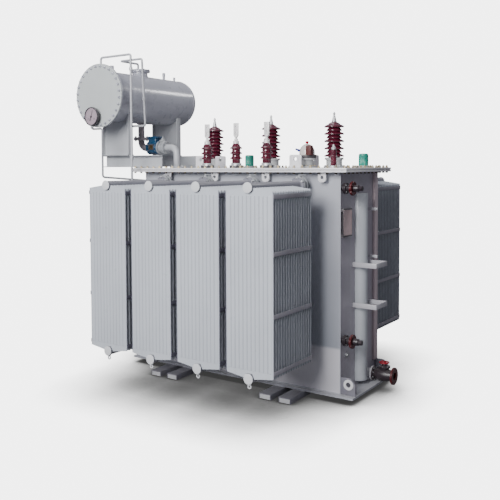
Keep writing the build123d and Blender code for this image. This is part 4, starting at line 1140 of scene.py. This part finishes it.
# Conservator frame and legs
# Channels lie on the cover and reach out over the tank's end; flanged plate legs stand on them
# and hold the drum in a curved saddle.
frame_enamel = enamelled("frame_enamel", (0.45, 0.465, 0.49), dust=0.3)
eased("conservator_frame", frame_enamel, "tank_grey", 0.002)
eased("conservator_legs", frame_enamel, "tank_grey", 0.002)

# Conservator pipework
# Bent steel tube: the breather's line with a drying jar at its lower end, the vent over the drum,
# and the gauge's cable conduit. Screwed unions join the lengths.
pipe_enamel = enamelled("pipe_enamel", (0.48, 0.49, 0.52), dust=0.25, grime=0.1, roughness=0.32, coat=0.25)


def union(centre, axis, radius):
    """A screwed hexagon union on a tube."""
    nut = hexagon("union", radius * 3.2, radius * 1.8, -radius * 0.9, 1)
    collar = lathe("collar", flats((radius * 1.3, radius * 3.4), edge=0.001), foot=(0, 0, -radius * 1.7),
                   steps=20)
    piece = joined("union", [nut, collar])
    piece.data.transform(Matrix.Translation(centre)
                         @ Vector(axis).to_track_quat("Z", "Y").to_matrix().to_4x4())
    return piece


tube_radius = 0.0135
breather_low, breather_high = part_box("breather_pipe")
breather_y = (breather_low.y + breather_high.y) / 2
breather_top = breather_high.z - tube_radius
breather_x = breather_high.x - tube_radius
breather_route = [(shell_x, breather_y, shell_top - 0.01), (shell_x, breather_y, breather_top),
                  (breather_x, breather_y, breather_top), (breather_x, breather_y, breather_low.z)]
breather = [rod("tube", breather_route, tube_radius, bend=0.028, turns=5, sides=4),
            lathe("socket", flats((0.026, 0.032)), foot=(shell_x, breather_y, shell_top - 0.006), steps=20)]
breather_unions = (2.46, 3.48)
breather += [union((breather_x, breather_y, level), (0, 0, 1), tube_radius) for level in breather_unions]
belongs(joined("breather_line", breather), pipe_enamel, "pipe_grey", "breather_pipe")
vent_low, vent_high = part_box("vent_pipe")
vent_y = vent_low.y + tube_radius
vent_top = vent_high.z - tube_radius
vent_bottom = vent_low.z + tube_radius
vent_start_y = manhole_y - 0.030
vent_end_x = shell_x + 0.120
vent_route = [(shell_x, vent_start_y, shell_top + 0.074), (shell_x, vent_start_y, vent_top),
              (shell_x, vent_y, vent_top), (shell_x + 0.345, vent_y, vent_top),
              (shell_x + 0.390, vent_y, vent_bottom), (vent_end_x, vent_y, vent_bottom),
              (vent_end_x, vent_y, vent_bottom + 0.085)]
vent = [rod("tube", vent_route, tube_radius, bend=0.0225, turns=5, sides=4),
        union((shell_x + 0.372, vent_y, 3.17), (0.045, 0, -0.798), tube_radius)]
belongs(joined("vent_line", vent), pipe_enamel, "pipe_grey", "vent_pipe")
conduit_radius = 0.012
conduit_low, conduit_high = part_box("gauge_conduit")
conduit_x = gauge_spot.x + 0.156
end_wall_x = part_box("tank_left_wall")[0].x
conduit_level = conduit_low.z + conduit_radius
conduit_end_y = -0.330
start_y, fall_y = gauge_high.y - 0.052, gauge_high.y - 0.040
turn_z, bend_z = conduit_high.z - 0.036, 2.238
conduit_route = [(gauge_spot.x, start_y, conduit_high.z + 0.003), (gauge_spot.x, start_y, turn_z),
                 (conduit_x, fall_y, turn_z), (conduit_x, fall_y, bend_z),
                 (end_wall_x - 0.060, conduit_end_y, conduit_level),
                 (end_wall_x, conduit_end_y, conduit_level)]
conduit = [rod("tube", conduit_route, conduit_radius, bend=0.024, turns=5, sides=4),
           union((end_wall_x - 0.024, conduit_end_y, conduit_level), (1, 0, 0), conduit_radius),
           union((gauge_spot.x, start_y, conduit_high.z - 0.012), (0, 0, 1), conduit_radius)]
conduit_enamel = enamelled("conduit_enamel", (0.26, 0.27, 0.29), dust=0.2, grime=0.1)
belongs(joined("gauge_cable_conduit", conduit), conduit_enamel, "pipe_grey", "gauge_conduit")
jar_low, jar_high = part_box("breather_jar")
jar_spot = Vector((breather_x, breather_y, jar_low.z))
jar_height = jar_high.z - jar_low.z
jar_cap = 0.022
jar_metal = [lathe("cap", flats((0.052, jar_cap)), foot=jar_spot + Vector((0, 0, rise)), steps=32)
             for rise in (0, jar_height - jar_cap)]
for angle in (0.5, 2.6, 4.7):
    tie_spot = jar_spot + Vector((0.048 * cos(angle), 0.048 * sin(angle), jar_height / 2))
    jar_metal.append(drum("tie", 0.004, jar_height - 0.03, tie_spot, corners=8))
belongs(joined("drying_jar_metal", jar_metal), cast_alloy, "terminal_metal")
jar_glass, jar_tree, jar_shader = new_material("jar_glass")
feed(jar_tree, jar_shader, Base_Color=(0.92, 0.95, 0.95, 1),
     Roughness=0.05, Transmission_Weight=1.0, IOR=1.46)
jar = lathe("drying_jar", [(0.040, 0.020), (0.044, 0.020), (0.044, jar_height - 0.020),
                           (0.040, jar_height - 0.020), (0.040, 0.020)], foot=jar_spot, steps=32)
belongs(jar, jar_glass, "jar_glass", "breather_jar")
beads_orange = enamelled("drying_beads", (0.55, 0.16, 0.03), unevenness=0.3, dust=0.0, grime=0.0,
                         roughness=0.4, coat=0.0, peel_depth=0.004)
filling = lathe("drying_filling", [(0, 0.021), (0.0385, 0.021), (0.0385, jar_height * 0.72),
                                   (0.030, jar_height * 0.75), (0, jar_height * 0.74)], foot=jar_spot,
                steps=28)
belongs(filling, beads_orange, "jar_glass")

# Oil pipe and gas relay
# A flanged pipe leads down from the drum through the blue cast gas relay and a grey gate valve to
# the cover. The relay has sight glasses, a terminal box on top and a test cock.
outlet_low, outlet_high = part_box("oil_outlet")
relay_low, relay_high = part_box("gas_relay")
oil_y = (outlet_low.y + outlet_high.y) / 2
oil_radius = 0.040
oil_z = outlet_low.z + oil_radius
pipe_dark = enamelled("pipe_dark", (0.42, 0.38, 0.40), dust=0.25, grime=0.1, roughness=0.3, coat=0.3)
flange_z = 2.710
shell_bottom = shell_z - shell_radius
outlet_route = [(shell_x, oil_y, shell_bottom + 0.01), (shell_x, oil_y, oil_z), (relay_low.x, oil_y, oil_z)]
outlet = [rod("pipe", outlet_route, oil_radius, bend=0.085, turns=8, sides=7),
          lathe("flange", [(oil_radius - 0.01, -0.018), (0.096, -0.018), (0.098, -0.016), (0.098, -0.002),
                           (0.094, -0.0015), (0.094, 0.0015), (0.098, 0.002), (0.098, 0.016),
                           (0.096, 0.018), (0.050, 0.018), (oil_radius - 0.01, 0.026)],
                foot=(shell_x, oil_y, flange_z), steps=40),
          lathe("collar", [(oil_radius - 0.01, 0), (0.062, 0), (0.050, 0.008), (oil_radius - 0.01, 0.014)],
                foot=(shell_x, oil_y, shell_bottom + 0.002), axis=(0, 0, -1), steps=32)]
belongs(joined("oil_outlet_pipe", outlet), pipe_dark, "pipe_grey", "oil_outlet")
outlet_places = round_flange((shell_x, oil_y, flange_z + 0.018), (0, 0, 1), 0.076, 8)
belongs(repeated("oil_outlet_bolts", clamp_bolt(0.012, 0.036), outlet_places), grey_zinc, "terminal_metal")
relay_blue = enamelled("relay_blue", (0.010, 0.060, 0.135), unevenness=0.1, dust=0.15, grime=0.1,
                       roughness=0.3, coat=0.4, peel_depth=0.0012)
relay_length = relay_high.x - relay_low.x
relay_x = (relay_low.x + relay_high.x) / 2
relay_parts = [lathe("body", [(0, 0), *lip(0.084, 0, 0.018), (0.070, 0.019), (0.072, 0.028), (0.078, 0.040),
                              (0.078, relay_length - 0.040), (0.072, relay_length - 0.028),
                              (0.070, relay_length - 0.019), *lip(0.084, relay_length - 0.018, relay_length),
                              (0, relay_length)],
                     foot=(relay_low.x, oil_y, oil_z), axis=(1, 0, 0), steps=40)]
for wide, deep, low, high, edge in ((0.124, 0.116, oil_z, relay_high.z - 0.030, 0.006),
                                    (0.148, 0.128, relay_high.z - 0.032, relay_high.z - 0.016, 0.003),
                                    (0.144, 0.124, relay_high.z - 0.0155, relay_high.z - 0.004, 0.003)):
    part = block("part", (relay_x, oil_y, (low + high) / 2), (wide, deep, high - low))
    relay_parts.append(soften(part, edge, segments=3))
belongs(joined("relay_housing", relay_parts), relay_blue, "relay_blue", "gas_relay")
sight_glass, glass_tree, glass_shader = new_material("sight_glass")
glass_where = own_place(glass_tree)
oil_cloud = noise(glass_tree, glass_where, 30.0, 2)
feed(glass_tree, glass_shader, Coat_Weight=1.0, Coat_Roughness=0.03,
     Base_Color=blended(glass_tree, oil_cloud, (0.03, 0.022, 0.010, 1), (0.07, 0.045, 0.015, 1)),
     Roughness=span(glass_tree, noise(glass_tree, glass_where, 80.0, 2), 0.3, 0.7, 0.05, 0.12))
glass_z = oil_z + 0.008
panes = [soften(block("pane", (relay_x, oil_y + side * 0.078, glass_z), (0.060, 0.006, 0.050)), 0.002)
         for side in (-1, 1)]
belongs(joined("relay_glasses", panes), sight_glass, "gauge_black")
trim = []
for side in (-1, 1):
    bezel = block("bezel", (relay_x, oil_y + side * 0.075, glass_z), (0.084, 0.008, 0.072))
    bpy.ops.object.mode_set(mode="EDIT")
    choose(lambda face: face.normal.y * side > 0.9)
    bpy.ops.mesh.inset(thickness=0.013, depth=0)
    bpy.ops.mesh.delete(type="FACE")
    bpy.ops.object.mode_set(mode="OBJECT")
    trim.append(soften(bezel, 0.0015))
trim.append(lathe("cock", flats((0.014, 0.010), (0.008, 0.012), (0.012, 0.010)),
                  foot=(relay_x + 0.045, oil_y + 0.038, relay_high.z - 0.034), steps=16))
belongs(joined("relay_trim", trim), cast_black, "cast_dark")
gate_low, gate_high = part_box("relay_gate_valve")
gate_length = gate_high.x - gate_low.x
gate_x = (gate_low.x + gate_high.x) / 2
gate_parts = [lathe("gate", [(0, 0), *lip(0.084, 0, 0.018), (0.062, 0.020), (0.060, 0.026),
                             (0.060, gate_length - 0.026), (0.062, gate_length - 0.020),
                             *lip(0.084, gate_length - 0.018, gate_length), (0, gate_length)],
                    foot=(gate_low.x, oil_y, oil_z), axis=(1, 0, 0), steps=40),
              lathe("neck", [(0.034, 0.040), (0.034, 0.078), (0.044, 0.080), (0.044, 0.094), (0.022, 0.098),
                             (0.018, 0.118), (0.008, 0.120), (0.008, 0.142), (0, 0.142)],
                    foot=(gate_x, oil_y, oil_z), steps=24)]
belongs(joined("gate_valve_body", gate_parts), cast_grey, "cast_dark", "relay_gate_valve")
gate_circles = [((relay_low.x + 0.018, oil_y, oil_z), (1, 0, 0), 0.074, 6),
                ((relay_high.x - 0.018, oil_y, oil_z), (-1, 0, 0), 0.074, 6),
                ((gate_high.x - 0.018, oil_y, oil_z), (-1, 0, 0), 0.074, 6)]
belongs(flange_bolts("relay_bolts", 0.010, gate_circles), grey_zinc, "terminal_metal")
inlet_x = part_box("oil_inlet")[1].x - 0.084
inlet_route = [(gate_high.x, oil_y, oil_z), (inlet_x, oil_y, oil_z), (inlet_x, oil_y, cover_top)]
inlet = [rod("pipe", inlet_route, oil_radius, bend=0.085, turns=8, sides=7),
         lathe("flange", flats((0.084, 0.018)), foot=(inlet_x, oil_y, cover_top), steps=40),
         lathe("flange", flats((0.080, 0.016)), foot=(gate_high.x, oil_y, oil_z), axis=(1, 0, 0), steps=40)]
belongs(joined("oil_inlet_pipe", inlet), frame_enamel, "pipe_grey", "oil_inlet")
inlet_circles = [((inlet_x, oil_y, cover_top + 0.018), (0, 0, 1), 0.066, 6),
                 ((gate_high.x + 0.016, oil_y, oil_z), (1, 0, 0), 0.066, 6)]
belongs(flange_bolts("oil_inlet_bolts", 0.010, inlet_circles), grey_zinc, "terminal_metal")

# Oil valves on the drain end
# Two small flanged sampling valves, near the top and low down: dark cast bodies with a scalloped red
# handwheel and a hexagon blanking cap.
oil_valves_low, oil_valves_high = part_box("oil_valves")
end_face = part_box("tank_right_wall")[1].x
sample_y = (oil_valves_low.y + oil_valves_high.y) / 2
sample_levels = (oil_valves_high.z - 0.070, oil_valves_low.z + 0.070)
sample_places = [Matrix.Translation((end_face, sample_y, level)) for level in sample_levels]
sample_body = lathe("body", [(0, 0), (0.030, 0), (0.030, 0.019), (0.053, 0.019), (0.055, 0.021),
                             (0.055, 0.035), (0.052, 0.0365), (0.055, 0.038), (0.055, 0.052),
                             (0.053, 0.054), (0.038, 0.056), (0.034, 0.064), (0.036, 0.080), (0.032, 0.096),
                             (0.024, 0.100), (0.024, 0.124), (0.034, 0.126), (0.034, 0.172), (0.032, 0.176),
                             (0, 0.176)], axis=(1, 0, 0), steps=36)
sample_cap = hexagon("cap", 0.054, 0.038, 0, 1)
sample_cap.data.transform(Matrix.Translation((0.176, 0, 0)) @ Matrix.Rotation(pi / 2, 4, "Y"))
valve_black = enamelled("valve_black", (0.026, 0.018, 0.024), unevenness=0.15, dust=0.08, grime=0.1,
                        roughness=0.35)
belongs(repeated("sampling_valves", joined("valve", [sample_body, sample_cap]), sample_places), valve_black,
        "cast_dark", "oil_valves")
sample_wheel = lathe("wheel", [(0.022, 0.100), (0.040, 0.103), (0.050, 0.101), (0.056, 0.098), (0.066, 0.098),
                               (0.070, 0.102), (0.070, 0.120), (0.066, 0.124), (0.056, 0.124), (0.050, 0.121),
                               (0.040, 0.119), (0.022, 0.122), (0.022, 0.100)], axis=(1, 0, 0), steps=48)


def grip_notch(face):
    """Picks the rim faces where the wheel's grip is scalloped, at eight places round it."""
    middle = face.calc_center_median()
    outward = Vector((middle.y, middle.z))
    share = (outward.angle_signed(Vector((1, 0)), 0) + pi) / tau * 8
    return outward.length > 0.066 and abs(share % 1 - 0.5) < 0.22


pressed(sample_wheel, grip_notch, (0.001, -0.005))
wheel_maroon = enamelled("wheel_maroon", (0.075, 0.004, 0.007), unevenness=0.1, dust=0.06, grime=0.1,
                         roughness=0.35)
belongs(repeated("sampling_wheels", sample_wheel, sample_places), wheel_maroon, "valve_red")
sample_bolts = [((end_face + 0.054, sample_y, level), (1, 0, 0), 0.046, 4) for level in sample_levels]
belongs(flange_bolts("sampling_bolts", 0.008, sample_bolts), grey_zinc, "terminal_metal")

# Brackets and nameplate board
# Bent flat bars and short arms on the end wall, and the board that carries the bare nameplate on
# four screws.
bracket_enamel = enamelled("bracket_enamel", (0.46, 0.455, 0.485), dust=0.25)
eased("end_brackets", bracket_enamel, "tank_grey", 0.0025)
board_low, board_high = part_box("nameplate_board")
board_enamel = enamelled("board_enamel", (0.075, 0.068, 0.075), dust=0.1, grime=0.1)
eased("nameplate_board", board_enamel, "board_grey", 0.0015)
board_middle = (board_low + board_high) / 2
board_size = board_high - board_low
nameplate = block("bare_nameplate", (board_high.x, board_middle.y, board_middle.z),
                  (0.003, board_size.y - 0.024, board_size.z - 0.030))
pressed(nameplate, lambda face: face.normal.x > 0.9, (0.006, 0), (0.001, -0.0006))
soften(nameplate, 0.0004)
plate_metal = plated("plate_metal", (0.58, 0.45, 0.455), (0.52, 0.405, 0.41), 0.45, metallic=0.3)
belongs(nameplate, plate_metal, "board_grey")
corner_y, corner_z = board_size.y / 2 - 0.018, board_size.z / 2 - 0.021
screws = []
for step_y in (-1, 1):
    for step_z in (-1, 1):
        spot = (board_high.x + 0.0012, board_middle.y + step_y * corner_y, board_middle.z + step_z * corner_z)
        screws.append(lathe("screw", [(0, 0), (0.0045, 0), (0.0045, 0.0005), (0.0035, 0.002), (0, 0.0028)],
                            foot=spot, axis=(1, 0, 0), steps=12))
belongs(joined("nameplate_screws", screws), grey_zinc, "terminal_metal")

# Drain valve
# A cast globe valve on a flanged stub low on the end wall. Its red outlet flange is open, with four
# drilled holes, and the bonnet above carries the stem.
drain_low, drain_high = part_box("drain_valve")
drain_y = (drain_low.y + drain_high.y) / 2
wheel_low, wheel_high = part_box("drain_handwheel")
bonnet_x = (wheel_low.x + wheel_high.x) / 2
outlet_radius = 0.090
drain_z = drain_low.z + outlet_radius
drain_spot = Vector((end_face, drain_y, drain_z))
drain_stub = lathe("drain_stub", [(0, 0), (0.052, 0), (0.046, 0.006), (0.044, 0.010), (0.044, 0.068),
                                  (0.048, 0.073), (0.073, 0.073), (0.075, 0.075), (0.075, 0.089),
                                  (0.072, 0.0905), (0, 0.0905)], foot=drain_spot, axis=(1, 0, 0), steps=48)
belongs(drain_stub, rim_enamel, "tank_grey")
drain_body = lathe("drain", [(0, 0.0905), (0.072, 0.0915), (0.075, 0.093), (0.075, 0.107), (0.073, 0.109),
                             (0.052, 0.112), (0.052, 0.124), (0.060, 0.142), (0.067, 0.170), (0.068, 0.214),
                             (0.066, 0.250), (0.058, 0.280), (0.054, 0.300), (0.054, 0.312), (0.040, 0.312),
                             (0.040, 0.271), (0, 0.271)], foot=drain_spot, axis=(1, 0, 0), steps=48)
outlet_flange = lathe("drain_outlet_flange", [(0.040, 0.304), (0.056, 0.304), (0.058, 0.309),
                                              *lip(outlet_radius, 0.309, 0.331), (0.043, 0.331),
                                              (0.040, 0.328), (0.040, 0.304)], foot=drain_spot,
                      axis=(1, 0, 0), steps=48)
for place in round_flange(drain_spot + Vector((0.320, 0, 0)), (1, 0, 0), 0.077, 4):
    drilled(outlet_flange, 0.007, place.translation, "X")
bonnet_spot = Vector((bonnet_x, drain_y, drain_z))
bonnet = lathe("bonnet", [(0.040, 0.030), (0.048, 0.050), (0.048, 0.074), (0.060, 0.076), (0.062, 0.078),
                          (0.062, 0.082), (0.060, 0.084), (0.062, 0.086), (0.062, 0.090), (0.060, 0.092),
                          (0.034, 0.094), (0.026, 0.098), (0.026, 0.112), (0.024, 0.117), (0.010, 0.1178),
                          (0.010, 0.150), (0.008, 0.152), (0, 0.152)], foot=bonnet_spot, steps=36)
belongs(joined("drain_valve_body", [drain_body, bonnet]), valve_black, "cast_dark", "drain_valve")
belongs(outlet_flange, wheel_maroon, "valve_red")
drain_circles = [(drain_spot + Vector((0.109, 0, 0)), (1, 0, 0), 0.063, 8),
                 (bonnet_spot + Vector((0, 0, 0.092)), (0, 0, 1), 0.052, 6)]
belongs(flange_bolts("drain_bolts", 0.009, drain_circles), grey_zinc, "terminal_metal")

# Drain handwheel
# A small cast wheel with a round rim, four tapered spokes and a bored hub, painted red, that turns
# on the valve's stem.
wheel_spot = Vector((bonnet_x, drain_y, (wheel_low.z + wheel_high.z) / 2))
rim_line = [(0.0475 + 0.007 * cos(tau * step / 12), 0.007 * sin(tau * step / 12)) for step in range(12)]
wheel_parts = [lathe("rim", rim_line + rim_line[:1], steps=48),
               lathe("hub", [(0.0104, -0.0128), (0.015, -0.0128), (0.017, -0.011), (0.017, 0.011),
                             (0.015, 0.0128), (0.0104, 0.0128), (0.0104, -0.0128)], steps=28)]
for step in range(4):
    spoke = block("spoke", (0.029, 0, 0), (0.030, 0.010, 0.008))
    bpy.ops.object.mode_set(mode="EDIT")
    choose(lambda vertex: vertex.co.x < 0.02, "VERT")
    bpy.ops.transform.resize(value=(1, 1.35, 1.2), center_override=(0.014, 0, 0))
    bpy.ops.object.mode_set(mode="OBJECT")
    soften(spoke, 0.002)
    spoke.data.transform(Matrix.Rotation(step * pi / 2, 4, "Z"))
    wheel_parts.append(spoke)
wheel = joined("red_handwheel", wheel_parts)
wheel.data.transform(Matrix.Translation(wheel_spot))
belongs(wheel, signal_red, "valve_red", "drain_handwheel", body="drain_wheel")

# Rim tabs and earthing pad
# Bored tabs hang under the rim on both long walls for the rigger's hooks, and an earthing pad with
# its bolt is welded to the end wall.
tab = block("tab", (0, 0, -0.050), (0.090, 0.014, 0.100))
bpy.ops.object.mode_set(mode="EDIT")
choose(lambda edge: abs(edge.verts[0].co.y - edge.verts[1].co.y) > 0.01 and edge.verts[0].co.z < -0.09,
       "EDGE")
bpy.ops.mesh.bevel(affect="EDGES", offset=0.035, segments=5)
bpy.ops.object.mode_set(mode="OBJECT")
drilled(tab, 0.017, (0, 0, -0.052), "Y", corners=24)
soften(tab, 0.0015)
tab_reach = 0.060
tab_xs = [-0.649, 0.020, 0.685, 1.352]
tab_places = [Matrix.Translation((x, y, rim_low.z)) for x in tab_xs
              for y in (wall_low.y - tab_reach, back_high.y + tab_reach)]
belongs(repeated("rim_tabs", tab, tab_places), rim_enamel, "tank_grey")
earth_spot = Vector((end_face, -0.292, 0.445))
pad = lathe("pad", flats((0.030, 0.012)), foot=earth_spot, axis=(1, 0, 0), steps=28)
earth_bolt = hexagon("bolt", 0.030, 0.012, 0.012, 1)
earth_bolt.data.transform(Matrix.Translation(earth_spot) @ Matrix.Rotation(pi / 2, 4, "Y"))
belongs(joined("earthing_pad", [pad, earth_bolt]), grey_zinc, "terminal_metal")

# Studio
# A white floor with a soft painted shadow under the base, a large lamp high at the front, weaker ones
# above, at the drain end and behind, and a cool white surround that is dimmer towards the drain end.
bpy.ops.object.select_all(action="DESELECT")
bpy.ops.mesh.primitive_plane_add(size=120, location=(0, 20, 0))
floor = bpy.context.object
floor.name = "floor"
floor_paint = new_material("floor_paint")[0]
ground = floor_paint.node_tree
# Painted shadow: the floor's glow for the camera is dimmed by ambient occlusion near the tank.
open_sky = feed(ground, add(ground, "ShaderNodeAmbientOcclusion", samples=24), Distance=0.85).outputs["AO"]
shade = sum_of(ground, "ADD", sum_of(ground, "MULTIPLY", sum_of(ground, "POWER", open_sky, 4.2), 4.95), 0.05)
white = feed(ground, add(ground, "ShaderNodeEmission"), Strength=shade)
chalk = feed(ground, add(ground, "ShaderNodeBsdfDiffuse"), Color=(0.22, 0.22, 0.23, 1))
looked_at = add(ground, "ShaderNodeLightPath").outputs["Is Camera Ray"]
floor_mix = feed(ground, add(ground, "ShaderNodeMixShader"), i0=looked_at, i1=chalk.outputs["BSDF"],
                 i2=white.outputs["Emission"])
feed(ground, ground.nodes["Material Output"], Surface=floor_mix.outputs["Shader"])
floor.data.materials.append(floor_paint)

world = bpy.data.worlds.new("surround")
bpy.context.scene.world = world
world.use_nodes = True
air = world.node_tree
glow = air.nodes["Background"]
way = split(air, add(air, "ShaderNodeTexCoord").outputs["Generated"])["X"]
side = span(air, way, -0.6, 0.7, 0.50, 0.23)
seen = add(air, "ShaderNodeLightPath").outputs["Is Camera Ray"]
strength = feed(air, add(air, "ShaderNodeMix", data_type="FLOAT"), i0=seen, i2=side, i3=5.0).outputs[0]
tint = blended(air, seen, (0.88, 0.885, 1.0, 1), (1, 1, 1, 1))
feed(air, glow, Color=tint, Strength=strength)


def lamp(name, place, target, size, power):
    """A large soft lamp aimed at a point."""
    light = bpy.data.lights.new(name, "AREA")
    light.shape = "DISK"
    light.size = size
    light.energy = power
    holder = bpy.data.objects.new(name, light)
    bpy.context.scene.collection.objects.link(holder)
    holder.location = place
    holder.rotation_euler = (Vector(target) - Vector(place)).to_track_quat("-Z", "Y").to_euler()


lamp("key_lamp", (1.2, -10.5, 6.0), (0, 0, 1.6), 6.0, 1700)
lamp("top_lamp", (-1.5, -0.5, 9.5), (0, 0, 2.0), 5.0, 200)
lamp("end_lamp", (7.0, -1.0, 8.0), (0.5, 0, 2.0), 3.0, 30)
lamp("back_lamp", (3.0, 7.0, 7.3), (-0.9, 0.2, 3.0), 1.4, 90)

# Camera
# It stands at the front right, at the height of the cover, as far off as the photograph was taken.
camera = bpy.data.objects.new("camera", bpy.data.cameras.new("camera"))
bpy.context.scene.collection.objects.link(camera)
bpy.context.scene.camera = camera
turn, dip, roll = radians(33.84), radians(2.53), radians(-0.23)
right = Vector((cos(turn), sin(turn), 0))
ahead = Vector((-sin(turn) * cos(dip), cos(turn) * cos(dip), -sin(dip)))
up = right.cross(ahead)
level_right = right * cos(roll) + up * sin(roll)
level_up = up * cos(roll) - right * sin(roll)
camera.matrix_world = Matrix((level_right, level_up, -ahead)).transposed().to_4x4()
camera.location = (4.661, -6.654, 2.372)
camera.data.sensor_width = 36
camera.data.lens = 50.47
camera.data.shift_x = -0.0059
camera.data.shift_y = -0.1079
